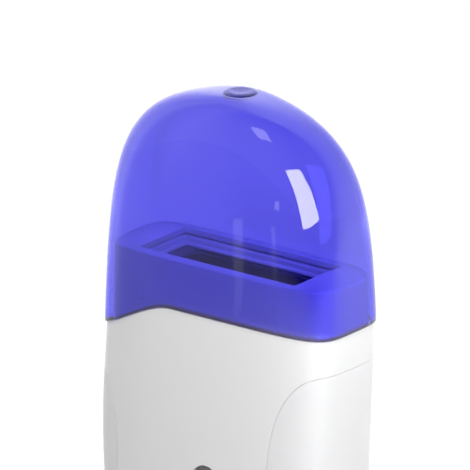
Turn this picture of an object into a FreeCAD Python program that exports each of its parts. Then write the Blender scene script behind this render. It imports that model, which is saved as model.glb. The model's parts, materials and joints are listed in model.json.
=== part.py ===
# Handheld roll-on wax heater: a slim white housing that stands on its base, an aluminium
# heating chamber for the wax cartridge inside it, and a translucent dome cap over the mouth.
# Millimetres. X runs along the wide faces, Y through the thickness, Z up from the foot pad.
# The power button is on the front (-Y), the mains inlet on the back (+Y).
import FreeCAD, Part
import math
import os
import Sketcher

doc = FreeCAD.newDocument("roll_on_wax_heater")
Vector = FreeCAD.Vector
Rotation = FreeCAD.Rotation

# ---------------------------------------------------------------- driving dimensions
SIZES = {
    # dome cap
    "dome_height": 82.2,         # from dome_level to the crown
    "dome_margin": 1.0,          # the dome's curves start this far under the rim's lowest point
    "cap_inset": 0.6,            # the cap's foot lies this far inside the housing's foot
    "cap_wall": 2.0,
    "cap_draft": 0.018,          # how much each side leans in per millimetre of height
    "arch_power": 6.5,           # shape of the arch seen on the wide face
    "arch_root": 2.0,
    "cheek_power": 1.5,          # shape of the arch seen on the narrow end
    "cheek_root": 5.4,
    "slab_fullness": 1.0,        # outline of the slab: 0.55 is an ellipse, 1 a rounded slab
    "crown_fullness": 0.63,
    "crown_flat": 0.2,           # how far under the crown its small flat lies
    "boss_diameter": 10.1,
    "boss_height": 0.6,
    "boss_dish_diameter": 8.3,
    "boss_dish_depth": 0.3,
    "gate_diameter": 1.4,
    "gate_height": 0.3,
    "cap_gap": 0.3,              # from the cap's rim to the housing's shoulder
    # the rim's dip towards the -X end
    "swoosh_start": 13.5,        # where the dip starts, from the middle
    "swoosh_reach": 36.5,
    "swoosh_drop": 13.0,
    "swoosh_lead": 10.5,         # how far the curve holds level before it falls
    "swoosh_tail": 14.0,
    "swoosh_tail_rise": 1.5,
    # housing: what each outline gives up at its ends and faces, and its shift along X
    "cap_overhang": 0.75,        # the cap stands proud of the housing by this at the rim
    "shoulder_margin": 4.0,      # how far the housing's curves run on above the rim
    "palm_below_rim": 25.0,
    "palm_inset": 1.25,
    "palm_thinning": 1.5,
    "palm_shift": 1.15,
    "waist_level": 68.0,
    "waist_inset": 2.0,
    "waist_thinning": 0.9,
    "waist_shift": 1.6,
    "heel_level": 30.0,
    "heel_inset": 0.8,
    "heel_thinning": 0.2,
    "heel_shift": 0.3,
    "foot_level": 6.0,
    "sole_level": 0.8,
    "sole_inset": 0.6,
    "sleeve_wall": 2.6,
    # grip panels let into the two narrow ends
    "grip_thickness": 1.2,
    "grip_gap": 0.45,
    "glue_film": 0.05,           # behind the grip panels and round the window's seat
    "grip_edge_inset": 1.8,      # the line from which each grip's reach is measured
    "right_grip_reach": 20.0,
    "right_grip_below_rim": 11.5,
    "right_grip_middle": 86.0,
    "left_grip_reach": 8.5,
    "left_grip_below_rim": 27.0,
    "left_grip_middle": 81.0,
    "grip_bottom": 24.0,
    # deck and collar under the cap
    "deck_rise": 15.4,           # the deck stands above the rim by this
    "deck_plate": 2.5,
    "deck_edge": 0.8,
    "collar_reach": 20.0,        # how far the collar runs down inside the housing
    "collar_wall": 1.8,
    "collar_clearance": 0.15,
    "collar_taper": 0.25,
    "mouth_ledge": 5.95,         # from the chamber's opening to the mouth's end wall
    "mouth_side_ledge": 0.6,     # the mouth's floor is only this narrow rim
    "mouth_depth": 4.6,
    "mouth_floor": 1.0,
    "mouth_corner": 0.8,
    "seal_groove_below_deck": 1.8,   # groove round the mouth that the cartridge's seal grips
    "seal_groove_height": 0.7,
    "seal_groove_depth": 1.0,
    "tray_wall": 1.4,
    "rib_width": 1.2,
    "rib_proud": 0.3,
    "rib_from_middle": 25.6,
    "rib_below_deck": 6.0,
    "rib_length": 9.0,
    "post_gap": 1.5,             # between a deck post and the chamber's heater cell
    "post_offset": 6.5,
    "post_diameter": 6.4,
    "post_from_end": 9.7,
    "lug_below_collar": 1.0,
    "lug_thickness": 4.0,
    "lug_width": 8.0,
    "lug_reach": 4.2,
    # heating chamber
    "chamber_length": 48.0,
    "chamber_width": 21.7,
    "chamber_depth": 94.6,
    "chamber_wall": 1.1,
    "chamber_floor": 1.5,
    "chamber_corner": 1.6,
    "flange_thickness": 1.5,
    "flange_past_post": 2.0,
    "flange_width": 22.4,
    "flange_corner": 6.0,
    "gasket_thickness": 1.2,
    "gasket_inset": 0.3,
    "post_clearance": 0.5,
    "slot_width": 8.0,
    # heater packs in the chamber's end cells
    "cell_wall": 1.2,
    "cell_width": 16.4,
    "cell_above_floor": 10.0,
    "cell_height": 70.0,
    "stone_thickness": 3.0,
    "stone_width": 14.0,
    "stone_height": 20.0,
    "stone_gap": 1.0,
    "electrode_thickness": 0.4,
    "electrode_tail": 5.0,
    "film_thickness": 0.25,
    "pack_clearance": 0.05,
    # thermostat under the chamber
    "thermostat_flange_diameter": 17.0,
    "thermostat_flange_height": 3.0,
    "thermostat_body_diameter": 14.0,
    "thermostat_body_height": 6.0,
    "tab_length": 5.0,
    "tab_width": 3.0,
    "tab_thickness": 0.8,
    "tab_from_middle": 3.6,
    "strap_end": 4.0,
    "strap_width": 18.0,
    "strap_thickness": 1.0,
    "strap_screw_gap": 4.5,      # from the thermostat's rim to the strap screw's axis
    "strap_boss_diameter": 6.0,
    # thermal fuse on the chamber's back wall
    "fuse_diameter": 2.6,
    "fuse_length": 10.0,
    "fuse_above_floor": 16.0,
    "fuse_play": 0.05,           # between the fuse and what holds it
    "fuse_chamfer": 0.4,
    "fuse_clip_wall": 0.4,
    "fuse_clip_length": 6.0,
    "fuse_clip_foot": 3.0,
    "fuse_space": 0.35,          # air between the clip and the housing's wall
    # level window
    "window_above_floor": 22.0,
    "window_width": 10.0,
    "window_height": 32.0,
    "window_rebate": 2.0,
    "window_rebate_thickness": 1.2,
    "window_gap": 0.2,
    # base
    "pad_thickness": 2.0,
    "pad_inset": 5.0,
    "pad_clearance": 0.15,
    "spigot_height": 5.0,
    "spigot_wall": 1.8,
    "spigot_clearance": 0.15,
    "guide_gap": 0.95,           # between a card guide and the base screw's head
    "guide_length": 5.0,
    "guide_width": 6.0,
    "guide_height": 12.0,
    "guide_past_board": 0.5,
    "guide_clearance": 0.1,
    "pillar_from_end": 9.2,
    "pillar_diameter": 7.2,
    "pillar_height": 18.0,
    "pillar_rib": 2.4,
    # screws, all self-tapping pan heads
    "screw_diameter": 2.9,
    "screw_head_diameter": 5.6,
    "screw_head_height": 1.9,
    "screw_play": 0.05,          # thread in its pilot hole, on the radius
    "screw_pass": 0.25,          # shank through a clearance hole, on the radius
    "screw_head_chamfer": 0.6,
    "screw_end_space": 1.0,      # left in a pilot hole beyond the screw's end
    "base_screw_length": 14.0,
    "deck_screw_length": 14.0,
    "chamber_screw_length": 5.5,
    "strap_screw_length": 4.0,
    # circuit board, switch and light
    "board_height": 24.0,
    "board_thickness": 1.6,
    "board_seat": 1.5,
    "board_headroom": 4.0,       # between the board and the thermostat's body
    "control_on_board": 13.5,    # button and light above the board's lower edge
    "button_diameter": 11.4,
    "button_clearance": 0.3,
    "button_proud": 1.0,
    "button_travel": 1.2,
    "button_flange_width": 1.2,
    "button_flange_height": 1.0,
    "button_flange_gap": 0.5,
    "button_edge": 0.7,
    "button_dish_depth": 0.4,
    "button_dish_diameter": 8.4,
    "switch_size": 8.0,
    "switch_height": 4.0,
    "switch_gap": 0.3,           # left between button and switch when pressed home
    "switch_corner": 0.8,
    "plunger_diameter": 2.8,
    "plunger_in_switch": 1.5,
    "plunger_bore_clearance": 0.3,
    "led_diameter": 3.0,
    "led_height": 3.2,
    "led_rim": 0.4,
    "led_rim_height": 1.0,
    "led_round": 1.0,
    "lens_from_middle": 15.0,
    "lens_diameter": 4.0,
    "lens_flange_width": 1.0,
    "lens_flange_height": 1.0,
    "lens_gap": 0.15,
    "lens_above_led": 0.3,
    "lens_proud": 0.1,
    "resistor_diameter": 2.6,
    "resistor_length": 8.0,
    "resistor_chamfer": 0.5,
    "resistor_from_middle": 15.0,
    "block_length": 20.0,
    "block_depth": 7.6,
    "block_height": 9.0,
    "block_from_middle": 16.0,
    "block_way_diameter": 3.0,
    "block_way_spacing": 6.0,
    "block_way_depth": 6.0,
    # mains inlet
    "inlet_proud": 0.2,
    "inlet_flange_length": 29.0,
    "inlet_flange_height": 17.0,
    "inlet_flange_thickness": 1.4,
    "inlet_flange_corner": 3.0,
    "inlet_body_length": 24.0,
    "inlet_body_height": 13.0,
    "inlet_depth": 15.0,
    "inlet_socket_length": 17.0,
    "inlet_socket_height": 9.2,
    "inlet_socket_depth": 10.5,
    "inlet_socket_corner": 4.2,
    "inlet_gap": 0.15,
    "pin_diameter": 2.4,
    "pin_spacing": 8.6,
    "pin_below_face": 1.8,
    "pin_tail": 4.0,
    "pin_tip_chamfer": 0.8,
    "pin_clearance": 0.05,
}

# What follows from them. Along X the cartridge's chamber, the heater packs and the deck posts
# set the housing's length; along Y the fuse on the chamber sets its thickness; along Z each
# level stands on the one below it, from the base plate up to the cap.
FOLLOWING = {
    "cell_depth": "stone_thickness + 2 * electrode_thickness + 2 * film_thickness"
                  " + 4 * pack_clearance",
    "chamber_outer_length": "chamber_length + 2 * chamber_wall",
    "chamber_outer_width": "chamber_width + 2 * chamber_wall",
    "cell_middle": "(chamber_outer_length + cell_depth) / 2",
    "post_from_middle": "chamber_outer_length / 2 + cell_depth + cell_wall + post_gap"
                        " + post_diameter / 2",
    "body_length": "2 * (post_from_middle + post_from_end)",
    "body_thickness": "chamber_outer_width + 2 * (fuse_diameter + 2 * fuse_play"
                      " + fuse_clip_wall + fuse_space + sleeve_wall + waist_thinning)",
    "cap_length": "body_length - 2 * cap_inset",
    "cap_thickness": "body_thickness - 2 * cap_inset",
    "mouth_length": "chamber_length + 2 * mouth_ledge",
    "mouth_width": "chamber_width + 2 * mouth_side_ledge",
    "flange_length": "2 * (post_from_middle + flange_past_post)",
    "pillar_from_middle": "body_length / 2 - pillar_from_end",
    "guide_from_middle": "pillar_from_middle - screw_head_diameter / 2 - screw_pass"
                         " - guide_gap - guide_length / 2",
    "board_length": "2 * (guide_from_middle - guide_past_board)",
    "strap_screw_from_middle": "thermostat_flange_diameter / 2 + strap_screw_gap",
    "strap_length": "2 * (strap_screw_from_middle + strap_end)",
    "control_level": "foot_level + board_seat + control_on_board",
    "chamber_bottom": "foot_level + board_seat + board_height + board_headroom"
                      " + thermostat_body_height + thermostat_flange_height",
    "chamber_floor_level": "chamber_bottom + chamber_floor",
    "cell_bottom": "chamber_floor_level + cell_above_floor",
    "fuse_level": "chamber_floor_level + fuse_above_floor",
    "window_level": "chamber_floor_level + window_above_floor",
    "chamber_top": "chamber_floor_level + chamber_depth",
    "deck_level": "chamber_top + gasket_thickness + mouth_floor + mouth_depth",
    "rim_level": "deck_level - deck_rise",
    "dome_level": "rim_level - swoosh_drop - dome_margin",
    "palm_level": "rim_level - palm_below_rim",
    "collar_bottom": "rim_level - collar_reach",
    "lug_level": "collar_bottom - lug_below_collar",
    "right_grip_top": "rim_level - right_grip_below_rim",
    "left_grip_top": "rim_level - left_grip_below_rim",
    "wall_inner": "body_thickness / 2 - sleeve_wall",
    "button_back": "wall_inner - button_flange_gap - button_flange_height",
    "switch_front": "button_back - button_travel - switch_gap",
    "board_front": "switch_front - switch_height",
    "board_back": "board_front - board_thickness",
    "inlet_face": "body_thickness / 2 + inlet_proud",
    "fuse_depth": "chamber_outer_width / 2 + fuse_play + fuse_diameter / 2",
}

sheet = doc.addObject("Spreadsheet::Sheet", "sizes")
for row, (alias, value) in enumerate(SIZES.items(), start=1):
    sheet.set(f"A{row}", alias)
    sheet.set(f"B{row}", str(value))
    sheet.setAlias(f"B{row}", alias)
doc.recompute()


def with_owners(expression):
    """Puts the owner's name before each size in an expression."""
    words = expression.replace("(", " ( ").replace(")", " ) ").split()
    return " ".join(f"sizes.{word}" if word in SIZES
                    else f"following.{word}" if word in FOLLOWING else word for word in words)


following = doc.addObject("App::VarSet", "following")
for name, expression in FOLLOWING.items():
    following.addProperty("App::PropertyFloat", name)
    following.setExpression(name, with_owners(expression))
doc.recompute()


def size(name):
    """A size as a number."""
    if name in SIZES:
        return float(sheet.get(name))
    return float(getattr(following, name))


def bind(target, **expressions):
    """Ties properties of an object to the sizes named in each expression."""
    for prop, expression in expressions.items():
        target.setExpression(prop.replace("__", "."), with_owners(expression))


# ---------------------------------------------------------------- sketches and features
TURNS = {
    "up": Rotation(),
    "down": Rotation(Vector(1, 0, 0), 180),
    "front": Rotation(Vector(1, 0, 0), 90),
    "back": Rotation(Vector(1, 0, 0), -90) * Rotation(Vector(0, 0, 1), 180),
    "right": Rotation(Vector(0, 1, 0), 90),
}


def new_body(label, at=("0", "0", "0"), facing="up"):
    """An empty body whose own +Z faces the named way and whose origin is at the given place."""
    body = doc.addObject("PartDesign::Body", label)
    body.Label = label
    body.Placement = FreeCAD.Placement(Vector(), TURNS[facing])
    bind(body, Placement__Base__x=at[0], Placement__Base__y=at[1], Placement__Base__z=at[2])
    return body


def sketch_on(body, role="XY_Plane", at=("0", "0", "0")):
    """A sketch on one of the body's own planes, moved within the plane and off it."""
    sketch = body.newObject("Sketcher::SketchObject", body.Label + "_sketch")
    plane = next(item for item in body.Origin.OriginFeatures if item.Role == role)
    sketch.AttachmentSupport = [(plane, "")]
    sketch.MapMode = "FlatFace"
    bind(sketch, AttachmentOffset__Base__x=at[0], AttachmentOffset__Base__y=at[1],
         AttachmentOffset__Base__z=at[2])
    return sketch


def add_rectangle(sketch, length, width):
    """A rectangle centred on the sketch's origin."""
    first = sketch.GeometryCount
    corners = [Vector(-1, -1, 0), Vector(1, -1, 0), Vector(1, 1, 0), Vector(-1, 1, 0)]
    for start, end in zip(corners, corners[1:] + corners[:1]):
        sketch.addGeometry(Part.LineSegment(start, end), False)
    bottom, right, top, left = range(first, first + 4)
    for line, following in ((bottom, right), (right, top), (top, left), (left, bottom)):
        sketch.addConstraint(Sketcher.Constraint("Coincident", line, 2, following, 1))
    for line in (bottom, top):
        sketch.addConstraint(Sketcher.Constraint("Horizontal", line))
    for line in (right, left):
        sketch.addConstraint(Sketcher.Constraint("Vertical", line))
    sketch.addConstraint(Sketcher.Constraint("Symmetric", bottom, 1, top, 1, -1, 1))
    bind_constraint(sketch, Sketcher.Constraint("DistanceX", bottom, 1, bottom, 2, 2.0), length)
    bind_constraint(sketch, Sketcher.Constraint("DistanceY", right, 1, right, 2, 2.0), width)


def add_rounded_rectangle(sketch, length, width, radius):
    """A rectangle centred on the sketch's origin whose corners are tangent arcs."""
    first = sketch.GeometryCount
    half, straight, turn = 10.0, 8.0, 2.0
    quarter = math.pi / 2
    sides = [(Vector(-straight, -half, 0), Vector(straight, -half, 0)),
             (Vector(half, -straight, 0), Vector(half, straight, 0)),
             (Vector(straight, half, 0), Vector(-straight, half, 0)),
             (Vector(-half, straight, 0), Vector(-half, -straight, 0))]
    centres = [Vector(straight, -straight, 0), Vector(straight, straight, 0),
               Vector(-straight, straight, 0), Vector(-straight, -straight, 0)]
    for number, (start, end) in enumerate(sides):
        sketch.addGeometry(Part.LineSegment(start, end), False)
        circle = Part.Circle(centres[number], Vector(0, 0, 1), turn)
        angle = (number - 1) * quarter
        sketch.addGeometry(Part.ArcOfCircle(circle, angle, angle + quarter), False)
    bottom, right, top, left = range(first, first + 8, 2)
    corners = range(first + 1, first + 9, 2)
    for corner, following in zip(corners, (right, top, left, bottom)):
        sketch.addConstraint(Sketcher.Constraint("Tangent", corner - 1, 2, corner, 1))
        sketch.addConstraint(Sketcher.Constraint("Tangent", corner, 2, following, 1))
    for corner in corners[1:]:
        sketch.addConstraint(Sketcher.Constraint("Equal", corners[0], corner))
    sketch.addConstraint(Sketcher.Constraint("Horizontal", top))
    sketch.addConstraint(Sketcher.Constraint("Vertical", left))
    sketch.addConstraint(Sketcher.Constraint("Symmetric", bottom, 1, bottom, 2, -2))
    sketch.addConstraint(Sketcher.Constraint("Symmetric", right, 1, right, 2, -1))
    bind_constraint(sketch, Sketcher.Constraint("DistanceX", left, 1, right, 1, 2 * half), length)
    bind_constraint(sketch, Sketcher.Constraint("DistanceY", bottom, 1, top, 1, 2 * half), width)
    bind_constraint(sketch, Sketcher.Constraint("Radius", corners[0], turn), radius)


def add_circle(sketch, diameter):
    """A circle round the sketch's origin."""
    circle = sketch.addGeometry(Part.Circle(Vector(), Vector(0, 0, 1), 1.0), False)
    sketch.addConstraint(Sketcher.Constraint("Coincident", circle, 3, -1, 1))
    bind_constraint(sketch, Sketcher.Constraint("Diameter", circle, 2.0), diameter)


def bind_constraint(sketch, constraint, expression):
    """Adds a dimension to a sketch and ties it to the sheet."""
    number = sketch.addConstraint(constraint)
    sketch.setExpression(f"Constraints[{number}]", with_owners(expression))


def add_steps(sketch, steps):
    """Half section of a turned piece: (radius, height) of each step, from the bottom up."""
    points = [Vector(0, 0, 0)]
    level = 0.0
    for step in range(len(steps)):
        reach = 1.0 + step % 2
        points += [Vector(reach, level, 0), Vector(reach, level + 1.0, 0)]
        level += 1.0
    points.append(Vector(0, level, 0))
    for start, end in zip(points, points[1:] + points[:1]):
        sketch.addGeometry(Part.LineSegment(start, end), False)
    count = len(points)
    for line in range(count):
        following = (line + 1) % count
        sketch.addConstraint(Sketcher.Constraint("Coincident", line, 2, following, 1))
        kind = "Horizontal" if line % 2 == 0 and line < count - 1 else "Vertical"
        sketch.addConstraint(Sketcher.Constraint(kind, line))
    sketch.addConstraint(Sketcher.Constraint("Coincident", 0, 1, -1, 1))
    for step, (radius, height) in enumerate(steps):
        side = 2 * step + 1
        bind_constraint(sketch, Sketcher.Constraint("DistanceX", -1, 1, side, 1, 1.0), radius)
        bind_constraint(sketch, Sketcher.Constraint("DistanceY", side, 1, side, 2, 1.0), height)


def pad(body, sketch, length, reverse=False):
    """Raises a sketch into a solid along its normal, or against it."""
    raised = body.newObject("PartDesign::Pad", body.Label + "_pad")
    raised.Profile = sketch
    raised.Reversed = reverse
    bind(raised, Length=length)
    doc.recompute()


def pocket(body, sketch, length, reverse=False):
    """Cuts a sketch into the body: downwards from its plane, or upwards when reversed."""
    before = body.Shape.Volume
    cut = body.newObject("PartDesign::Pocket", body.Label + "_pocket")
    cut.Profile = sketch
    cut.Reversed = reverse
    bind(cut, Length=length)
    doc.recompute()
    if not body.Shape.Volume < before:
        raise ValueError(f"{body.Label}: a pocket cuts nothing")
    return cut


def round_edges(body, radius, chosen, kind="Fillet"):
    """Rounds or chamfers the body's edges for which chosen(edge) is true."""
    base = body.Tip
    names = [f"Edge{number}" for number, edge in enumerate(base.Shape.Edges, start=1)
             if chosen(edge)]
    if not names:
        raise ValueError(f"{body.Label}: no edges to round")
    edging = body.newObject(f"PartDesign::{kind}", f"{body.Label}_{kind.lower()}")
    edging.Base = (base, names)
    bind(edging, **{"Radius" if kind == "Fillet" else "Size": radius})
    doc.recompute()


def turned(label, steps, at=("0", "0", "0"), facing="up"):
    """A body turned about its own Z axis from a stepped half section."""
    body = new_body(label, at, facing)
    sketch = sketch_on(body, "XZ_Plane")
    add_steps(sketch, steps)
    turn = body.newObject("PartDesign::Revolution", label + "_revolution")
    turn.Profile = sketch
    turn.ReferenceAxis = (sketch, ["V_Axis"])
    turn.Angle = 360
    doc.recompute()
    return body


def slab(label, length, width, height, at=("0", "0", "0"), facing="up"):
    """A body that is one rectangular pad, centred on its place."""
    body = new_body(label, at, facing)
    sketch = sketch_on(body)
    add_rectangle(sketch, length, width)
    pad(body, sketch, height)
    return body


def group(label, members):
    """Several separate solids that make one node."""
    compound = doc.addObject("Part::Compound", label)
    compound.Label = label
    compound.Links = members
    return compound


def moulded(label, shape):
    """A sub-part whose form comes from curves that no sketch tool draws."""
    item = doc.addObject("Part::Feature", label)
    item.Label = label
    item.Shape = shape
    return item


def is_upright(edge):
    """A straight edge along the body's own Z axis."""
    if not isinstance(edge.Curve, Part.Line):
        return False
    return abs(edge.Curve.Direction.z) > 0.999


def lies_at(edge, level):
    """An edge that lies wholly at one height of the body's own frame."""
    box = edge.BoundBox
    return abs(box.ZMin - level) < 1e-4 and abs(box.ZMax - level) < 1e-4


# ---------------------------------------------------------------- outlines and lofts
def outline(half_length, half_width, fullness, level, shift=0.0):
    """Closed level outline of four tangent Bezier quarters round (shift, 0)."""
    handle_length = half_length * fullness
    handle_width = half_width * fullness
    east = Vector(half_length, 0, 0)
    north = Vector(0, half_width, 0)
    quarter = [east, Vector(half_length, handle_width, 0),
               Vector(handle_length, half_width, 0), north]
    edges = []
    for turn in range(4):
        points = []
        for point in quarter if turn % 2 == 0 else reversed(quarter):
            x = point.x if turn in (0, 3) else -point.x
            y = point.y if turn in (0, 1) else -point.y
            points.append(Vector(x + shift, y, level))
        curve = Part.BezierCurve()
        curve.setPoles(points)
        edges.append(curve.toShape())
    return Part.Wire(edges)


def loft(wires):
    """One smooth closed solid through level outlines."""
    return Part.makeLoft(wires, True, False)


def housing(inset):
    """The housing's outer form, drawn in by an inset on every side, from sole to shoulder."""
    rim = size("rim_level")
    full = size("slab_fullness")
    shoulder = (size("cap_length") / 2 - size("cap_overhang") - cap_lean(rim),
                size("cap_thickness") / 2 - size("cap_overhang") - cap_lean(rim))
    sole = size("sole_inset")
    length = size("body_length") / 2
    width = size("body_thickness") / 2
    levels = [(size("sole_level"), length - sole, width - sole, 0),
              (size("foot_level"), length, width, 0)]
    for name in ("heel", "waist", "palm"):
        levels.append((size(f"{name}_level"), length - size(f"{name}_inset"),
                       width - size(f"{name}_thinning"), size(f"{name}_shift")))
    levels += [(rim, *shoulder, 0), (rim + size("shoulder_margin"), *shoulder, 0)]
    return loft([outline(half_length - inset, half_width - inset, full, level, -shift)
                 for level, half_length, half_width, shift in levels])


def cap_lean(level):
    """How far the cap's draft has drawn its sides in at a level."""
    return size("cap_draft") * (level - size("dome_level"))


def dome(inset):
    """The cap's outer form, drawn in by an inset, from below the rim to the crown's flat."""
    steps = 10
    height = size("dome_height") - inset
    last_share = 1 - size("crown_flat") / height
    wires = []
    for step in range(steps + 1):
        share = (1 - (1 - step / steps) ** 2) * last_share
        level = size("dome_level") + share * height
        arch = (1 - share ** size("arch_power")) ** (1 / size("arch_root"))
        cheek = (1 - share ** size("cheek_power")) ** (1 / size("cheek_root"))
        fullness = size("slab_fullness")
        fullness -= (size("slab_fullness") - size("crown_fullness")) * share ** 3
        wires.append(outline((size("cap_length") / 2 - cap_lean(level) - inset) * arch,
                             (size("cap_thickness") / 2 - cap_lean(level) - inset) * cheek,
                             fullness, level))
    return loft(wires)


def prism_along_y(wire):
    """A flat outline in the XZ plane carried right through the thickness."""
    reach = size("body_thickness")
    face = Part.Face(wire)
    face.translate(Vector(0, -reach, 0))
    return face.extrude(Vector(0, 2 * reach, 0))


def above_rim(raised):
    """All the space above the cap's rim line, raised by an amount."""
    rim = size("rim_level") + raised
    start = -size("swoosh_start")
    end = start - size("swoosh_reach")
    low = rim - size("swoosh_drop")
    far = size("body_length")
    high = size("dome_level") + 2 * size("dome_height")
    swoosh = Part.BezierCurve()
    swoosh.setPoles([Vector(start, 0, rim),
                     Vector(start - size("swoosh_lead"), 0, rim),
                     Vector(end + size("swoosh_tail"), 0, low + size("swoosh_tail_rise")),
                     Vector(end, 0, low)])
    corners = [Vector(end, 0, low), Vector(-far, 0, low), Vector(-far, 0, high),
               Vector(far, 0, high), Vector(far, 0, rim), Vector(start, 0, rim)]
    lines = [Part.makeLine(one, other) for one, other in zip(corners, corners[1:])]
    return prism_along_y(Part.Wire(Part.__sortEdges__([swoosh.toShape()] + lines)))


def between(low, high):
    """A level slab of space wider than the whole object."""
    far = size("body_length")
    return Part.makeBox(2 * far, 2 * far, high - low, Vector(-far, -far, low))


def grip_space(side, shrink):
    """The leaf-shaped space of one grip panel: two half ellipses back from the narrow end."""
    name = "right" if side > 0 else "left"
    middle = size(f"{name}_grip_middle")
    reach = size(f"{name}_grip_reach") - shrink
    edge = side * (size("body_length") / 2 - size("grip_edge_inset"))
    far = side * size("body_length")
    top = Vector(edge, 0, size(f"{name}_grip_top") - shrink)
    inner = Vector(edge - side * reach, 0, middle)
    bottom = Vector(edge, 0, size("grip_bottom") + shrink)
    upper = ellipse_quarter(edge, middle, -side * reach, top.z - middle)
    lower = ellipse_quarter(edge, middle, -side * reach, bottom.z - middle)
    outside = [bottom, Vector(far, 0, bottom.z), Vector(far, 0, top.z), top]
    lines = [Part.makeLine(one, other) for one, other in zip(outside, outside[1:])]
    return prism_along_y(Part.Wire(Part.__sortEdges__([upper, lower] + lines)))


def ellipse_quarter(x, z, reach, rise):
    """A quarter of an ellipse from (x + reach, z) to (x, z + rise), as a Bezier curve."""
    circle_handle = 4 / 3 * (math.sqrt(2) - 1)
    curve = Part.BezierCurve()
    curve.setPoles([Vector(x + reach, 0, z), Vector(x + reach, 0, z + rise * circle_handle),
                    Vector(x + reach * circle_handle, 0, z + rise), Vector(x, 0, z + rise)])
    return curve.toShape()


def cylinder(diameter, height, x, y, z, direction=Vector(0, 0, 1)):
    """A plain cylinder for booleans."""
    return Part.makeCylinder(diameter / 2, height, Vector(x, y, z), direction)


def block(length, width, height, x, y, z):
    """A plain block for booleans, centred on x and y, standing on z."""
    return Part.makeBox(length, width, height, Vector(x - length / 2, y - width / 2, z))


def rounded_block(length, width, height, radius, x, y, z):
    """The same with its upright edges rounded."""
    shape = block(length, width, height, x, y, z)
    upright = [edge for edge in shape.Edges if is_upright(edge)]
    return shape.makeFillet(radius, upright)


# ---------------------------------------------------------------- cap
def make_cap():
    """Dome with an even wall, a dipping rim and the moulding boss on its crown."""
    shell = dome(0).cut(dome(size("cap_wall"))).common(above_rim(size("cap_gap")))
    crown = size("dome_level") + size("dome_height") - size("crown_flat")
    rooted = size("cap_wall") / 2
    boss_top = crown + size("boss_height")
    dish_floor = boss_top - size("boss_dish_depth")
    boss = cylinder(size("boss_diameter"), rooted + size("boss_height"), 0, 0, crown - rooted)
    dish = cylinder(size("boss_dish_diameter"), size("boss_height"), 0, 0, dish_floor)
    gate = cylinder(size("gate_diameter"), size("gate_height"), 0, 0, dish_floor)
    return moulded("cap", shell.fuse(boss).cut(dish).fuse(gate).removeSplitter())


# ---------------------------------------------------------------- housing
SCREW_CORNERS = ((1, 1), (-1, -1))      # the deck's posts, on one diagonal
CHAMBER_CORNERS = ((1, -1), (-1, 1))    # the chamber's screws, on the other


def slot_along_y(width, height, x, z, near, far):
    """A round-ended upright slot carried through the thickness from near to far."""
    radius = width / 2
    depth = far - near
    straight = height - width
    shape = Part.makeBox(width, depth, straight, Vector(x - radius, near, z - straight / 2))
    for end in (-straight / 2, straight / 2):
        shape = shape.fuse(cylinder(width, depth, x, near, z + end, Vector(0, 1, 0)))
    return shape.removeSplitter()


def pilot_diameter():
    """The hole a self-tapping screw bites into."""
    return size("screw_diameter") + 2 * size("screw_play")


def pass_diameter():
    """The hole a screw's shank drops through."""
    return size("screw_diameter") + 2 * size("screw_pass")


def make_sleeve():
    """White one-piece tube with the dipping shoulder, grip recesses, lugs and cut-outs."""
    wall = size("sleeve_wall")
    foot = size("foot_level")
    far = size("body_thickness")
    shell = housing(0).cut(housing(wall)).cut(above_rim(0))
    shell = shell.cut(between(0, foot))
    for side in (1, -1):
        shell = shell.cut(grip_space(side, 0).cut(housing(size("grip_thickness"))))
    rooting = housing(wall / 2)
    for along, across in SCREW_CORNERS:
        shell = shell.fuse(lug(along, across).common(rooting))
    for side in (1, -1):
        shell = shell.fuse(pillar(side, rooting))
    for along, across in SCREW_CORNERS:
        x = along * size("post_from_middle")
        y = across * size("post_offset")
        shell = shell.cut(cylinder(pass_diameter(), size("rim_level"), x, y, foot))
    base_tip = size("pad_thickness") + size("screw_head_height") + size("base_screw_length")
    base_depth = base_tip + size("screw_end_space") - foot
    for side in (1, -1):
        x = side * size("pillar_from_middle")
        shell = shell.cut(cylinder(pilot_diameter(), base_depth, x, 0, foot))
    level = size("control_level")
    button_hole = size("button_diameter") + 2 * size("button_clearance")
    shell = shell.cut(cylinder(button_hole, far, 0, -far, level, Vector(0, 1, 0)))
    light_hole = size("lens_diameter") + 2 * size("lens_gap")
    shell = shell.cut(cylinder(light_hole, far, size("lens_from_middle"), -far, level,
                               Vector(0, 1, 0)))
    gap = 2 * size("window_gap")
    shell = shell.cut(slot_along_y(size("window_width") + gap, size("window_height") + gap,
                                   0, size("window_level"), -far, 0))
    shell = shell.cut(inlet_cutout())
    return moulded("housing_sleeve", shell.removeSplitter())


def lug(along, across):
    """A shelf inside the narrow end that a deck screw pulls up against."""
    inner = size("post_from_middle") - size("lug_reach")
    outer = size("body_length") / 2
    x = along * (inner + outer) / 2
    low = size("lug_level") - size("lug_thickness")
    return block(outer - inner, size("lug_width"), size("lug_thickness"),
                 x, across * size("post_offset"), low)


def pillar(side, rooting):
    """An upright post for a base screw, tied to the narrow wall by a rib."""
    x = side * size("pillar_from_middle")
    foot = size("foot_level")
    post = cylinder(size("pillar_diameter"), size("pillar_height"), x, 0, foot)
    outer = size("body_length") / 2
    length = outer - size("pillar_from_middle")
    above_spigot = size("spigot_height") + size("spigot_wall")
    rib = block(length, size("pillar_rib"), size("pillar_height") - above_spigot,
                x + side * length / 2, 0, foot + above_spigot)
    return post.fuse(rib.common(rooting))


def inlet_cutout():
    """The hole for the mains inlet: a shallow rebate for its flange, then its body."""
    gap = 2 * size("inlet_gap")
    rebate = rounded_block(size("inlet_flange_length") + gap, size("inlet_flange_height") + gap,
                           2 * size("inlet_flange_thickness"), size("inlet_flange_corner"),
                           0, 0, -size("inlet_flange_thickness"))
    hole = block(size("inlet_body_length") + gap, size("inlet_body_height") + gap,
                 size("inlet_depth"), 0, 0, -size("inlet_depth"))
    shape = rebate.fuse(hole)
    shape.Placement = FreeCAD.Placement(Vector(0, size("inlet_face"), size("control_level")),
                                        TURNS["back"])
    return shape


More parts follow.
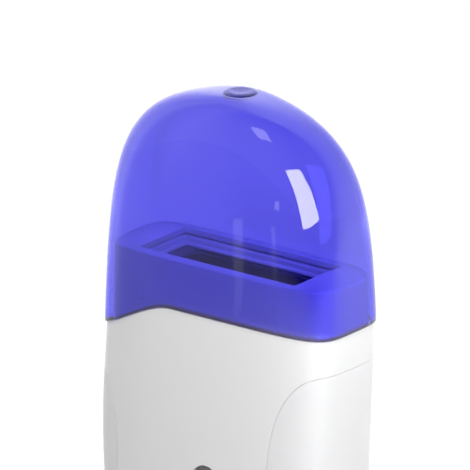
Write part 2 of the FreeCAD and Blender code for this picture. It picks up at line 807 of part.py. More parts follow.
def make_grip(side, label):
    """A leaf-shaped panel bonded into its recess, flush with the housing."""
    skin = housing(0).cut(housing(size("grip_thickness") - size("glue_film")))
    return moulded(label, skin.common(grip_space(side, size("grip_gap"))))


def make_window():
    """Level window: a flush plug with a rebate that seats behind the wall."""
    middle = size("window_level")
    width = size("window_width")
    height = size("window_height")
    rebate = 2 * size("window_rebate")
    wall = size("sleeve_wall")
    back = size("waist_thinning") + wall + size("window_rebate_thickness") - size("body_thickness") / 2
    front = -size("body_thickness")
    plug = slot_along_y(width, height, 0, middle, front, back).common(housing(0))
    flange = slot_along_y(width + rebate, height + rebate, 0, middle, front, back)
    flange = flange.common(housing(wall + size("glue_film")))
    return moulded("level_window", plug.fuse(flange).removeSplitter())


def make_base_plate():
    """Bottom cover with a spigot, a rebate for the foot pad, screw seats and card guides."""
    foot = size("foot_level")
    clear = size("sleeve_wall") + size("spigot_clearance")
    plate = housing(0).common(between(size("sole_level"), foot))
    ring = housing(clear).cut(housing(clear + size("spigot_wall")))
    plate = plate.fuse(ring.common(between(foot, foot + size("spigot_height"))))
    plate = plate.cut(pad_form(0, 0, size("pad_thickness")))
    seat = size("pad_thickness") + size("screw_head_height")
    for side in (1, -1):
        x = side * size("pillar_from_middle")
        plate = plate.cut(cylinder(size("screw_head_diameter") + 2 * size("screw_pass"),
                                   seat, x, 0, 0))
        plate = plate.cut(cylinder(pass_diameter(), foot, x, 0, 0))
        plate = plate.fuse(card_guide(side))
    return moulded("base_plate", plate.removeSplitter())


def pad_form(inset, low, high):
    """The foot pad's outline carried from one level to another."""
    margin = size("pad_inset") + inset
    face = Part.Face(outline(size("body_length") / 2 - margin,
                             size("body_thickness") / 2 - margin, size("slab_fullness"), low))
    return face.extrude(Vector(0, 0, high - low))


def card_guide(side):
    """A grooved upright that holds one edge of the circuit board."""
    foot = size("foot_level")
    x = side * size("guide_from_middle")
    y = -(size("board_front") + size("board_back")) / 2
    upright = block(size("guide_length"), size("guide_width"), size("guide_height"), x, y, foot)
    groove = block(size("board_length") + 2 * size("guide_clearance"),
                   size("board_thickness") + 2 * size("guide_clearance"),
                   size("guide_height"), 0, y, foot + size("board_seat"))
    return upright.cut(groove)


def make_foot_pad():
    """Soft pad the heater stands on, glued into the base plate."""
    return moulded("foot_pad", pad_form(size("pad_clearance"), 0, size("pad_thickness")))


# ---------------------------------------------------------------- deck and collar
def neck(inset, top):
    """The part of the collar above the rim, leaning in a little towards the deck."""
    rim = size("rim_level")
    inward = size("cap_overhang") + cap_lean(rim) + size("sleeve_wall")
    inward += size("collar_clearance") + inset
    length = size("cap_length") / 2 - inward
    width = size("cap_thickness") / 2 - inward
    lean = size("collar_taper") * (top - rim) / (size("deck_level") - rim)
    full = size("slab_fullness")
    return loft([outline(length, width, full, rim),
                 outline(length - lean, width - lean, full, top)])


def make_deck():
    """White collar the cap slips over, closed by a deck with the sunk mouth."""
    rim = size("rim_level")
    top = size("deck_level")
    bottom = size("collar_bottom")
    clear = size("sleeve_wall") + size("collar_clearance")
    wall = size("collar_wall")
    under_deck = top - size("deck_plate")
    upper = neck(0, top)
    upper = upper.makeFillet(size("deck_edge"), [edge for edge in upper.Edges
                                                 if lies_at(edge, top)])
    outer = upper.fuse(housing(clear).common(between(bottom, rim)))
    hollow = neck(wall, under_deck).fuse(housing(clear + wall).common(between(0, rim)))
    tray_height = size("mouth_depth") + size("mouth_floor")
    tray = block(size("mouth_length") + 2 * size("tray_wall"),
                 size("mouth_width") + 2 * size("tray_wall"),
                 tray_height - size("deck_edge"), 0, 0, top - tray_height)
    shape = outer.cut(hollow).fuse(tray.common(upper))
    for along, across in SCREW_CORNERS:
        shape = shape.fuse(corner_post(along, across, size("lug_level"), under_deck))
    for along, across in CHAMBER_CORNERS:
        shape = shape.fuse(corner_post(along, across, size("chamber_top"), under_deck))
    shape = shape.cut(rounded_block(size("mouth_length"), size("mouth_width"), tray_height,
                                    size("mouth_corner"), 0, 0, top - size("mouth_depth")))
    rim_width = 2 * size("mouth_side_ledge")
    shape = shape.cut(rounded_block(size("mouth_length") - rim_width,
                                    size("mouth_width") - rim_width, tray_height,
                                    size("mouth_corner"), 0, 0, top - tray_height))
    shape = shape.cut(seal_groove(top))
    beyond = size("screw_end_space")
    deck_hole = size("deck_screw_length") - size("lug_thickness") + beyond
    chamber_hole = size("chamber_screw_length") - size("flange_thickness") + beyond
    for along, across in SCREW_CORNERS:
        shape = shape.cut(corner_hole(along, across, size("lug_level"), deck_hole))
    for along, across in CHAMBER_CORNERS:
        shape = shape.cut(corner_hole(along, across, size("chamber_top"), chamber_hole))
    shape = shape.fuse(guide_ribs())
    return moulded("top_deck", shape.removeSplitter())


def seal_groove(top):
    """The cutter for the groove round the mouth's walls."""
    reach = size("seal_groove_depth")
    height = size("seal_groove_height")
    return rounded_block(size("mouth_length") + 2 * reach, size("mouth_width") + 2 * reach,
                         height, size("mouth_corner") + reach, 0, 0,
                         top - size("seal_groove_below_deck") - height)


def corner_post(along, across, low, high):
    """A round post standing inside the collar near one corner."""
    return cylinder(size("post_diameter"), high - low, along * size("post_from_middle"),
                    across * size("post_offset"), low)


def corner_hole(along, across, low, depth):
    """The pilot hole up the middle of such a post."""
    return cylinder(pilot_diameter(), depth, along * size("post_from_middle"),
                    across * size("post_offset"), low)


def guide_ribs():
    """Four short upright ribs that centre the cap on the collar."""
    inward = size("cap_overhang") + cap_lean(size("rim_level")) + size("sleeve_wall")
    half_width = size("cap_thickness") / 2 - inward - size("collar_clearance")
    low = size("deck_level") - size("rib_below_deck") - size("rib_length")
    width = 2 * (size("rib_proud") + size("collar_wall") / 2)
    ribs = []
    for along in (1, -1):
        for across in (1, -1):
            y = across * (half_width + size("rib_proud") - width / 2)
            ribs.append(block(size("rib_width"), width, size("rib_length"),
                              along * size("rib_from_middle"), y, low))
    return ribs


# ---------------------------------------------------------------- heating chamber
def make_chamber():
    """Aluminium well for the cartridge, with a cell for a heater pack at each narrow end."""
    body = new_body("heating_chamber")
    well = sketch_on(body, at=("0", "0", "chamber_bottom"))
    add_rounded_rectangle(well, "chamber_outer_length", "chamber_outer_width",
                          "chamber_corner + chamber_wall")
    pad(body, well, "chamber_top - chamber_bottom")
    cells = sketch_on(body, at=("0", "0", "cell_bottom"))
    add_rectangle(cells, "chamber_outer_length + 2 * (cell_depth + cell_wall)",
                  "cell_width + 2 * cell_wall")
    pad(body, cells, "cell_height")
    ears = sketch_on(body, at=("0", "0", "chamber_top - flange_thickness"))
    add_rounded_rectangle(ears, "flange_length", "flange_width", "flange_corner")
    pad(body, ears, "flange_thickness")
    for side in ("1", "-1"):
        boss = sketch_on(body, at=(f"{side} * strap_screw_from_middle", "0", "chamber_bottom"))
        add_circle(boss, "strap_boss_diameter")
        pad(body, boss, "thermostat_flange_height", reverse=True)
    well_space = sketch_on(body, at=("0", "0", "chamber_top"))
    add_rounded_rectangle(well_space, "chamber_length", "chamber_width", "chamber_corner")
    pocket(body, well_space, "chamber_top - chamber_floor_level")
    for side in ("1", "-1"):
        cell = sketch_on(body, at=(f"{side} * cell_middle", "0", "cell_bottom + cell_height"))
        add_rectangle(cell, "cell_depth", "cell_width")
        pocket(body, cell, "cell_height")
    for along, across in SCREW_CORNERS:
        clear = sketch_on(body, at=corner_place(along, across, "chamber_top"))
        add_circle(clear, "post_diameter + 2 * post_clearance")
        pocket(body, clear, "flange_thickness")
    for along, across in CHAMBER_CORNERS:
        hole = sketch_on(body, at=corner_place(along, across, "chamber_top"))
        add_circle(hole, "screw_diameter + 2 * screw_pass")
        pocket(body, hole, "flange_thickness")
    for side in ("1", "-1"):
        pilot = sketch_on(body, at=(f"{side} * strap_screw_from_middle", "0",
                                    "chamber_bottom - thermostat_flange_height"))
        add_circle(pilot, "screw_diameter + 2 * screw_play")
        pocket(body, pilot, "strap_screw_length - strap_thickness", reverse=True)
    sight = sketch_on(body, "XZ_Plane", at=("0", "window_level", "0"))
    add_rectangle(sight, "slot_width", "window_height - slot_width / 2")
    pocket(body, sight, "chamber_outer_width", reverse=True)
    return body


def corner_place(along, across, level):
    """Where a post or screw stands in the collar, as expressions."""
    return f"{along} * post_from_middle", f"{across} * post_offset", level


def make_gasket():
    """Silicone ring under the mouth's floor, which covers the chamber's rim and both ends."""
    body = new_body("chamber_gasket", at=("0", "0", "chamber_top"))
    ring = sketch_on(body)
    add_rounded_rectangle(ring, "mouth_length + 2 * tray_wall", "chamber_outer_width",
                          "chamber_corner + chamber_wall")
    add_rounded_rectangle(ring, "chamber_length + 2 * gasket_inset",
                          "chamber_width + 2 * gasket_inset", "chamber_corner + gasket_inset")
    pad(body, ring, "gasket_thickness")
    return body


def make_heater_packs():
    """Ceramic heating stones between two electrodes, wrapped in film, one pack in each cell."""
    stones, electrodes, films = [], [], []
    stack = "(3 * stone_height + 2 * stone_gap)"
    stack_bottom = f"(cell_bottom + (cell_height - {stack}) / 2)"
    plate_bottom = "(cell_bottom - electrode_tail)"
    for side, word in (("1", "right"), ("-1", "left")):
        middle = f"{side} * cell_middle"
        for place in range(3):
            level = f"{stack_bottom} + {place} * (stone_height + stone_gap)"
            stones.append(slab(f"stone_{word}_{place + 1}", "stone_thickness", "stone_width",
                               "stone_height", at=(middle, "0", level)))
        for face in ("-1", "1"):
            x = f"{middle} + {face} * (stone_thickness + electrode_thickness) / 2"
            name = f"electrode_{word}_{'inner' if face != side else 'outer'}"
            electrodes.append(slab(name, "electrode_thickness", "stone_width",
                                   f"{stack_bottom} + {stack} - {plate_bottom}",
                                   at=(x, "0", plate_bottom)))
        films.append(make_film(f"film_{word}", middle))
    return [group("ptc_stones", stones), group("electrode_plates", electrodes),
            group("insulating_films", films)]


def make_film(label, middle):
    """A thin flat tube of insulation lining one cell."""
    body = new_body(label, at=(middle, "0", "cell_bottom"))
    outside = sketch_on(body)
    add_rectangle(outside, "cell_depth - 2 * pack_clearance", "cell_width - 2 * pack_clearance")
    pad(body, outside, "cell_height")
    inside = sketch_on(body, at=("0", "0", "cell_height"))
    add_rectangle(inside, "cell_depth - 2 * pack_clearance - 2 * film_thickness",
                  "cell_width - 2 * pack_clearance - 2 * film_thickness")
    pocket(body, inside, "cell_height")
    return body


# ---------------------------------------------------------------- heat control
def make_thermostat():
    """Disc thermostat against the chamber's floor: metal cup, moulded body, two tabs."""
    bottom = "chamber_bottom - thermostat_flange_height - thermostat_body_height"
    body = turned("thermostat",
                  [("thermostat_body_diameter / 2", "thermostat_body_height"),
                   ("thermostat_flange_diameter / 2", "thermostat_flange_height")],
                  at=("0", "0", bottom))
    for side in ("1", "-1"):
        tab = sketch_on(body, at=(f"{side} * tab_from_middle", "0", "0"))
        add_rectangle(tab, "tab_thickness", "tab_width")
        pad(body, tab, "tab_length", reverse=True)
    return body


def make_thermostat_strap():
    """Steel strap that presses the thermostat's cup against the chamber."""
    level = "chamber_bottom - thermostat_flange_height - strap_thickness"
    body = slab("thermostat_strap", "strap_length", "strap_width", "strap_thickness",
                at=("0", "0", level))
    round_edges(body, "strap_boss_diameter / 2", is_upright)
    holes = [("0", "thermostat_body_diameter + 2 * screw_pass"),
             ("strap_screw_from_middle", "screw_diameter + 2 * screw_pass"),
             ("-1 * strap_screw_from_middle", "screw_diameter + 2 * screw_pass")]
    for x, diameter in holes:
        hole = sketch_on(body, at=(x, "0", "strap_thickness"))
        add_circle(hole, diameter)
        pocket(body, hole, "strap_thickness")
    return body


def make_thermal_fuse():
    """One-shot fuse lying along the chamber's back wall."""
    body = new_body("thermal_fuse", at=("-1 * fuse_length / 2", "fuse_depth", "fuse_level"),
                    facing="right")
    ring = sketch_on(body)
    add_circle(ring, "fuse_diameter")
    pad(body, ring, "fuse_length")
    round_edges(body, "fuse_chamfer", lambda edge: True, kind="Chamfer")
    return body


def make_fuse_clip():
    """Bent strip that saddles the fuse and lies flat on the wall above and below it."""
    depth = size("fuse_depth")
    level = size("fuse_level")
    strip = size("fuse_clip_wall")
    length = size("fuse_clip_length")
    inner = size("fuse_diameter") + 2 * size("fuse_play")
    wall_face = size("chamber_outer_width") / 2
    along = Vector(1, 0, 0)
    height = inner + 2 * (strip + size("fuse_clip_foot"))
    hoop = cylinder(inner + 2 * strip, length, -length / 2, depth, level, along)
    legs = Part.makeBox(length, depth - wall_face, inner + 2 * strip,
                        Vector(-length / 2, wall_face, level - inner / 2 - strip))
    feet = Part.makeBox(length, strip, height, Vector(-length / 2, wall_face, level - height / 2))
    space = cylinder(inner, length, -length / 2, depth, level, along)
    throat = Part.makeBox(length, depth - wall_face, inner,
                          Vector(-length / 2, wall_face, level - inner / 2))
    outer = hoop.fuse([legs, feet])
    behind = Part.makeBox(length, height, height, Vector(-length / 2, wall_face, level - height / 2))
    return moulded("fuse_clip", outer.common(behind).cut(space).cut(throat).removeSplitter())


# ---------------------------------------------------------------- screws
def make_screw(label, length, at):
    """Pan-head self-tapping screw driven upwards; its place is the underside of its head."""
    body = turned(label, [("screw_head_diameter / 2", "screw_head_height"),
                          ("screw_diameter / 2", length)], at)
    round_edges(body, "screw_head_chamfer", lambda edge: lies_at(edge, 0.0), kind="Chamfer")
    return body


def make_screws():
    """Every screw, grouped by what it holds."""
    head = "screw_head_height"
    lug_bottom = "lug_level - lug_thickness"
    strap_bottom = "chamber_bottom - thermostat_flange_height - strap_thickness"
    deck = [make_screw(f"deck_screw_{number}", "deck_screw_length",
                       corner_place(along, across, f"{lug_bottom} - {head}"))
            for number, (along, across) in enumerate(SCREW_CORNERS, start=1)]
    chamber = [make_screw(f"chamber_screw_{number}", "chamber_screw_length",
                          corner_place(along, across, f"chamber_top - flange_thickness - {head}"))
               for number, (along, across) in enumerate(CHAMBER_CORNERS, start=1)]
    base = [make_screw(f"base_screw_{number}", "base_screw_length",
                       (f"{side} * pillar_from_middle", "0", "pad_thickness"))
            for number, side in enumerate((1, -1), start=1)]
    strap = [make_screw(f"strap_screw_{number}", "strap_screw_length",
                        (f"{side} * strap_screw_from_middle", "0", f"{strap_bottom} - {head}"))
             for number, side in enumerate((1, -1), start=1)]
    return [group("deck_screws", deck), group("chamber_screws", chamber),
            group("base_screws", base), group("strap_screws", strap)]


# ---------------------------------------------------------------- controls on the front
def make_button():
    """Round push button with a dished face and a flange that keeps it in the wall."""
    body = turned("power_button",
                  [("button_diameter / 2 + button_flange_width", "button_flange_height"),
                   ("button_diameter / 2", "sleeve_wall + button_flange_gap + button_proud")],
                  at=("0", "-1 * button_back", "control_level"), facing="front")
    face = (size("button_flange_height") + size("sleeve_wall") + size("button_flange_gap")
            + size("button_proud"))
    round_edges(body, "button_edge", lambda edge: lies_at(edge, face))
    dish = sketch_on(body, at=("0", "0", "button_flange_height + sleeve_wall"
                                         " + button_flange_gap + button_proud"))
    add_circle(dish, "button_dish_diameter")
    pocket(body, dish, "button_dish_depth")
    return body


def make_plunger():
    """The switch's plunger, pushed by the button."""
    length = "button_back - switch_front + plunger_in_switch"
    return turned("switch_plunger", [("plunger_diameter / 2", length)],
                  at=("0", "-1 * (switch_front - plunger_in_switch)", "control_level"),
                  facing="front")


def make_switch():
    """Latching switch soldered to the board, with a bore for its plunger."""
    body = slab("power_switch", "switch_size", "switch_size", "switch_height",
                at=("0", "-1 * board_front", "control_level"), facing="front")
    round_edges(body, "switch_corner", is_upright)
    bore = sketch_on(body, at=("0", "0", "switch_height"))
    add_circle(bore, "plunger_diameter + 2 * plunger_bore_clearance")
    pocket(body, bore, "plunger_in_switch + button_travel + plunger_bore_clearance")
    return body


def make_board():
    """Circuit board standing in the base plate's card guides."""
    return slab("circuit_board", "board_length", "board_thickness", "board_height",
                at=("0", "-1 * (board_front - board_thickness / 2)",
                    "foot_level + board_seat"))


def make_led():
    """Indicator light on the board: rimmed foot and domed body."""
    body = turned("indicator_led", [("led_diameter / 2 + led_rim", "led_rim_height"),
                                    ("led_diameter / 2", "led_height - led_rim_height")],
                  at=("lens_from_middle", "-1 * board_front", "control_level"),
                  facing="front")
    round_edges(body, "led_round", lambda edge: lies_at(edge, size("led_height")))
    return body


def make_lens():
    """Light pipe from the indicator light to the front of the wall."""
    led_top = "(board_front + led_height + lens_above_led)"
    flange_back = "(wall_inner - lens_gap - lens_flange_height)"
    return turned("indicator_lens",
                  [("lens_diameter / 2", f"{flange_back} - {led_top}"),
                   ("lens_diameter / 2 + lens_flange_width", "lens_flange_height"),
                   ("lens_diameter / 2", "lens_gap + sleeve_wall + lens_proud")],
                  at=("lens_from_middle", f"-1 * {led_top}", "control_level"), facing="front")


def make_resistor():
    """Dropper resistor of the indicator light, on the back of the board."""
    body = new_body("led_resistor",
                    at=("resistor_from_middle - resistor_length / 2",
                        "-1 * (board_back - resistor_diameter / 2)", "control_level"),
                    facing="right")
    ring = sketch_on(body)
    add_circle(ring, "resistor_diameter")
    pad(body, ring, "resistor_length")
    round_edges(body, "resistor_chamfer", lambda edge: True, kind="Chamfer")
    return body


def make_terminal_block():
    """Screwless terminal block for the mains and heater leads, on the back of the board."""
    body = slab("terminal_block", "block_length", "block_height", "block_depth",
                at=("-1 * block_from_middle", "-1 * board_back", "control_level"),
                facing="back")
    way = sketch_on(body, at=("-1 * block_way_spacing", "0", "block_depth"))
    add_circle(way, "block_way_diameter")
    first = pocket(body, way, "block_way_depth")
    row = body.newObject("PartDesign::LinearPattern", "terminal_block_ways")
    row.Originals = [first]
    row.Direction = (way, ["H_Axis"])
    row.Occurrences = 3
    bind(row, Length="2 * block_way_spacing")
    body.Tip = row
    doc.recompute()
    return body


# ---------------------------------------------------------------- mains inlet
def make_inlet():
    """Two-pole mains inlet let into the back wall: flange, body and socket."""
    body = new_body("mains_inlet", at=("0", "inlet_face", "control_level"),
                    facing="back")
    flange = sketch_on(body)
    add_rounded_rectangle(flange, "inlet_flange_length", "inlet_flange_height",
                          "inlet_flange_corner")
    pad(body, flange, "inlet_flange_thickness", reverse=True)
    trunk = sketch_on(body, at=("0", "0", "-1 * inlet_flange_thickness"))
    add_rectangle(trunk, "inlet_body_length", "inlet_body_height")
    pad(body, trunk, "inlet_depth - inlet_flange_thickness", reverse=True)
    socket = sketch_on(body)
    add_rounded_rectangle(socket, "inlet_socket_length", "inlet_socket_height",
                          "inlet_socket_corner")
    pocket(body, socket, "inlet_socket_depth")
    for side in ("1", "-1"):
        hole = sketch_on(body, at=(f"{side} * pin_spacing / 2", "0", "0"))
        add_circle(hole, "pin_diameter + 2 * pin_clearance")
        pocket(body, hole, "inlet_depth")
    return body


def make_pins():
    """The inlet's two round contact pins, with their solder tails behind."""
    length = "inlet_depth - pin_below_face + pin_tail"
    tip = size("inlet_depth") - size("pin_below_face") + size("pin_tail")
    pins = []
    for side, word in (("1", "right"), ("-1", "left")):
        pin = turned(f"pin_{word}", [("pin_diameter / 2", length)],
                     at=(f"{side} * pin_spacing / 2",
                         "inlet_face - inlet_depth - pin_tail",
                         "control_level"), facing="back")
        round_edges(pin, "pin_tip_chamfer", lambda edge: lies_at(edge, tip), kind="Chamfer")
        pins.append(pin)
    return group("inlet_pins", pins)


# ---------------------------------------------------------------- build, check and write
nodes = [
    make_cap(), make_sleeve(), make_grip(1, "grip_right"), make_grip(-1, "grip_left"),
    make_window(), make_base_plate(), make_foot_pad(), make_deck(), make_chamber(),
    make_gasket(), *make_heater_packs(), make_thermostat(), make_thermostat_strap(),
    make_thermal_fuse(), make_fuse_clip(), *make_screws(), make_button(), make_plunger(),
    make_switch(), make_board(), make_led(), make_lens(), make_resistor(),
    make_terminal_block(), make_inlet(), make_pins(),
]
doc.recompute()

for item in doc.Objects:
    if "Invalid" in item.State or "Error" in item.State:
        raise RuntimeError(f"{item.Label} failed: {item.State}")
for node in nodes:
    if node.Shape.isNull() or not node.Shape.isValid():
        raise RuntimeError(f"{node.Label} has no valid shape")

os.makedirs("parts", exist_ok=True)
for node in nodes:
    node.Shape.exportStep(os.path.join("parts", f"{node.Label}.step"))
print(f"{len(nodes)} sub-parts written")
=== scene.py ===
# %% [markdown]
# # Roll-on wax heater
# A slim white heater stands on its foot and warms a cartridge of wax. A clear violet
# dome covers the mouth that the cartridge goes into. The shapes come in as the packed
# CAD frame, and this lesson gives them their light and their finishes, one at a time.
# Everything is in metres, in the frame's own place, so nothing has to be fitted.

import json
import math

import bmesh
import bpy
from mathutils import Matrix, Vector
from mathutils.bvhtree import BVHTree


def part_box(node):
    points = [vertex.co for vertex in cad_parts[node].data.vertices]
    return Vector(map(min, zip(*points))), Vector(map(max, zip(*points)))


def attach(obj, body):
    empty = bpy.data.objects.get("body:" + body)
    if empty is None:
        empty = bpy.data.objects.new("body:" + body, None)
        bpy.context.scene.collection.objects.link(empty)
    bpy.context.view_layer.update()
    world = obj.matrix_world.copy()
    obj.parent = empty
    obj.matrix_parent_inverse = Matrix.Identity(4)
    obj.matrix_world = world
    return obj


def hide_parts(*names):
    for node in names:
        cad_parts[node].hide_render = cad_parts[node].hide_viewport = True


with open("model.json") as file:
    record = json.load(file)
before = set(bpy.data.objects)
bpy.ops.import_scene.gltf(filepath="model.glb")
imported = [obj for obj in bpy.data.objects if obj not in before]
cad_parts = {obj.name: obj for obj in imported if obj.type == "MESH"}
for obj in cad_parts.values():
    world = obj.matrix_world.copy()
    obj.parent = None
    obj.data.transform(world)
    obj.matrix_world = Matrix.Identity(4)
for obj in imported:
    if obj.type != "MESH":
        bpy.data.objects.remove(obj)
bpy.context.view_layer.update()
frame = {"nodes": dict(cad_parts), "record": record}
scene = bpy.context.scene
MM = 0.001

# %% [markdown]
# ## Camera
# A product like this is taken with a long lens from a good distance, so that its sides
# stay parallel. The camera could be turned by hand, but an angle round the heater and one
# above it are easier to set and to change. The camera looks along the line that they give.

# %% Camera
VIEW_ROUND = math.radians(37.6)
VIEW_ABOVE = math.radians(19.0)
VIEW_WIDTH = 144.1 * MM
CAMERA_AWAY = 3.0
FILM_WIDTH = 36.0
AIM_LEVEL, AIM_LEFT, AIM_UP = 122.2 * MM, 1.675 * MM, 30.22 * MM


def direction(around, above):
    """The way from the heater to something that stands round it and above it."""
    return Vector((math.sin(around) * math.cos(above),
                   -math.cos(around) * math.cos(above), math.sin(above)))


to_camera = direction(VIEW_ROUND, VIEW_ABOVE)
across = Vector((math.cos(VIEW_ROUND), math.sin(VIEW_ROUND), 0.0))
upwards = to_camera.cross(across)
aim = Vector((0.0, 0.0, AIM_LEVEL)) - across * AIM_LEFT + upwards * AIM_UP
camera = bpy.data.objects.new("camera", bpy.data.cameras.new("camera"))
scene.collection.objects.link(camera)
camera.location = aim + to_camera * CAMERA_AWAY
camera.rotation_euler = (-to_camera).to_track_quat("-Z", "Y").to_euler()
camera.data.sensor_width = FILM_WIDTH
camera.data.lens = FILM_WIDTH * CAMERA_AWAY / VIEW_WIDTH
scene.camera = camera
print("camera: lens", round(camera.data.lens), "mm")

# %% [markdown]
# ## A helper for node trees
# Materials and geometry are trees of nodes. Drawn by hand, a formula becomes a tangle, so
# a small class wraps a socket and lets it be added and multiplied like a number. Every
# other node comes from one method, which takes its settings first and then its sockets.

# %% Sockets that add and multiply
class Wire:
    """A socket of a tree. Arithmetic with it adds Math nodes to that tree."""

    def __init__(self, tree, socket):
        self.tree, self.socket = tree, socket

    def math(self, operation, first, second=0.0):
        return add_node(self.tree, "ShaderNodeMath", {"operation": operation},
                        {0: first, 1: second})

    def __add__(self, other):
        return self.math("ADD", self, other)

    def __sub__(self, other):
        return self.math("SUBTRACT", self, other)

    def __mul__(self, other):
        return self.math("MULTIPLY", self, other)

    def __truediv__(self, other):
        return self.math("DIVIDE", self, other)

    def __pow__(self, other):
        return self.math("POWER", self, other)

    def __radd__(self, other):
        return self.math("ADD", other, self)

    def __rsub__(self, other):
        return self.math("SUBTRACT", other, self)

    def __rmul__(self, other):
        return self.math("MULTIPLY", other, self)

    def __rtruediv__(self, other):
        return self.math("DIVIDE", other, self)

    def __lt__(self, other):
        return self.math("LESS_THAN", self, other)

    def __gt__(self, other):
        return self.math("GREATER_THAN", self, other)


def add_node(tree, kind, settings=None, sockets=None, out=0):
    """Adds a node, sets it up, fills or links its sockets and returns an outlet."""
    node = tree.nodes.new(kind)
    for name, value in (settings or {}).items():
        if name == "stops":
            while len(node.color_ramp.elements) < len(value):
                node.color_ramp.elements.new(1.0)
            for stop, (place, colour) in zip(node.color_ramp.elements, value):
                stop.position, stop.color = place, (*colour, 1.0)
        else:
            setattr(node, name, value)
    for name, value in (sockets or {}).items():
        if isinstance(value, Wire):
            tree.links.new(value.socket, node.inputs[name])
        else:
            node.inputs[name].default_value = value
    return Wire(tree, node.outputs[out]) if node.outputs else node


# %% [markdown]
# ## Surroundings
# The heater stands on a plain pale floor in a white room. To the eye the room is white. As
# a light it is dimmer, so that a white case keeps its shading. Gloss sees more of it: a
# strip of room all round, bright behind the heater and at its left, and dark in front of
# the wide face, so that the clear dome isn't veiled there by a mirrored white wall. Such a
# strip could be a ring of cards. A colour ramp over the angle round the heater is one node.
# A ramp's colours stop at 1, so its levels are shared out below that and multiplied after.
# Through the dome the eye sees the white room too, but the light that goes on through it to
# what is under it comes mostly from the ceiling.

# %% Room
ROOM_LIGHT = 0.49
UNDER_DOME, CEILING = 0.3, 3.4
GLOSS_FALL = 0.3
RAMP_TOP = 2.5
GLOSS_ROUND = ((-180, 2.0), (-150, 2.3), (-66, 2.4), (-58, 1.4), (-50, 1.1), (-41, 0.85),
               (-36, 0.35), (-32, 0.0), (22, 0.0), (45, 0.3), (100, 0.5), (120, 1.5),
               (150, 2.0), (180, 2.1))


def ray(tree, kind):
    """1 for a ray of this kind and 0 for any other. A ray through glass isn't gloss."""
    rays = add_node(tree, "ShaderNodeLightPath").socket.node.outputs
    this = Wire(tree, rays["Is " + kind + " Ray"])
    if kind == "Glossy":
        this = this - Wire(tree, rays["Is Transmission Ray"])
    return this


def under_dome(tree):
    """1 for a ray that goes out through the dome from a piece under it."""
    rays = add_node(tree, "ShaderNodeLightPath").socket.node.outputs
    return Wire(tree, rays["Is Transmission Ray"]) * (Wire(tree, rays["Diffuse Depth"]) > 0.5)


def by_eye(tree):
    """1 for a ray that the eye sends out, straight or through clear plastic."""
    return ray(tree, "Camera") + ray(tree, "Transmission") - under_dome(tree)


def parts_of(tree, way):
    """The x, y and z of a vector."""
    split = add_node(tree, "ShaderNodeSeparateXYZ", None, {"Vector": way}).socket.node
    return [Wire(tree, part) for part in split.outputs]


def light_round(tree, way, levels):
    """The light in a direction, from levels at angles round the heater."""
    x, y, _ = parts_of(tree, way)
    turn = x.math("ARCTAN2", x, 0.0 - y) / (2.0 * math.pi)
    stops = [(0.5 + angle / 360.0, (light / RAMP_TOP,) * 3) for angle, light in levels]
    return add_node(tree, "ShaderNodeValToRGB", {"stops": stops}, {"Fac": 0.5 + turn}) * RAMP_TOP


room = bpy.data.worlds.new("white_room")
room.use_nodes = True
tree = room.node_tree
tree.nodes.clear()
way = add_node(tree, "ShaderNodeTexCoord", None, None, "Generated")
height = parts_of(tree, way)[2]
in_gloss = light_round(tree, way, GLOSS_ROUND) * (1.0 - GLOSS_FALL * height)
strength = (ROOM_LIGHT + (1.0 - ROOM_LIGHT) * by_eye(tree)
            + (in_gloss - ROOM_LIGHT) * ray(tree, "Glossy")
            + (UNDER_DOME - ROOM_LIGHT + CEILING * height) * under_dome(tree))
room_light = add_node(tree, "ShaderNodeBackground", None,
                      {"Color": (1.0, 1.0, 1.0, 1.0), "Strength": strength})
add_node(tree, "ShaderNodeOutputWorld", None, {"Surface": room_light})
scene.world = room
print("room light:", ROOM_LIGHT)

# %% [markdown]
# ## Floor
# The floor is one sheet of white paper. A plain white surface would come out grey, because
# the room is dim as a light, and a glowing one would lose the heater's shadow. This one
# adds a steady glow to the light that falls on it, which keeps both. Near the heater gloss
# sees the paper, lighter on the key lamp's side. Further off it sees the same strip of room
# as above the floor, a little dimmer.

# %% Floor
PAPER = 0.35
FLOOR_GLOW = 0.78
PAPER_ROUND = ((-180, 1.1), (-100, 1.2), (-62, 1.4), (-50, 0.6), (-36, 0.55), (-30, 1.1),
               (-20, 1.5), (0, 1.9), (35, 2.2), (60, 1.7), (95, 1.1), (180, 1.1))
NEAR, FAR = 0.40, 0.8
FAR_DIMMER = 0.3
FLOOR_REACH = 6.0

floor_paper = bpy.data.materials.new("floor_paper")
floor_paper.use_nodes = True
tree = floor_paper.node_tree
tree.nodes.clear()
lit = add_node(tree, "ShaderNodeBsdfDiffuse", None, {"Color": (PAPER, PAPER, PAPER, 1.0)})
place = add_node(tree, "ShaderNodeTexCoord", None, None, "Object")
away = add_node(tree, "ShaderNodeVectorMath", {"operation": "LENGTH"}, {0: place}, "Value")
far = add_node(tree, "ShaderNodeMapRange", None,
               {"Value": away, "From Min": NEAR, "From Max": FAR})
near_gloss = light_round(tree, place, PAPER_ROUND)
far_gloss = light_round(tree, place, GLOSS_ROUND) - FAR_DIMMER
strength = (FLOOR_GLOW * by_eye(tree) + UNDER_DOME * under_dome(tree)
            + (near_gloss * (1.0 - far) + far_gloss * far) * ray(tree, "Glossy"))
glow = add_node(tree, "ShaderNodeEmission", None,
                {"Color": (1.0, 1.0, 1.0, 1.0), "Strength": strength})
both = add_node(tree, "ShaderNodeAddShader", None, {0: lit, 1: glow})
add_node(tree, "ShaderNodeOutputMaterial", None, {"Surface": both})


def one_sheet(name, corners, material):
    """A flat staged sheet of one face, from its corners."""
    mesh = bpy.data.meshes.new(name)
    mesh.from_pydata(corners, [], [range(len(corners))])
    mesh.materials.append(material)
    sheet = bpy.data.objects.new(name, mesh)
    scene.collection.objects.link(sheet)
    return sheet


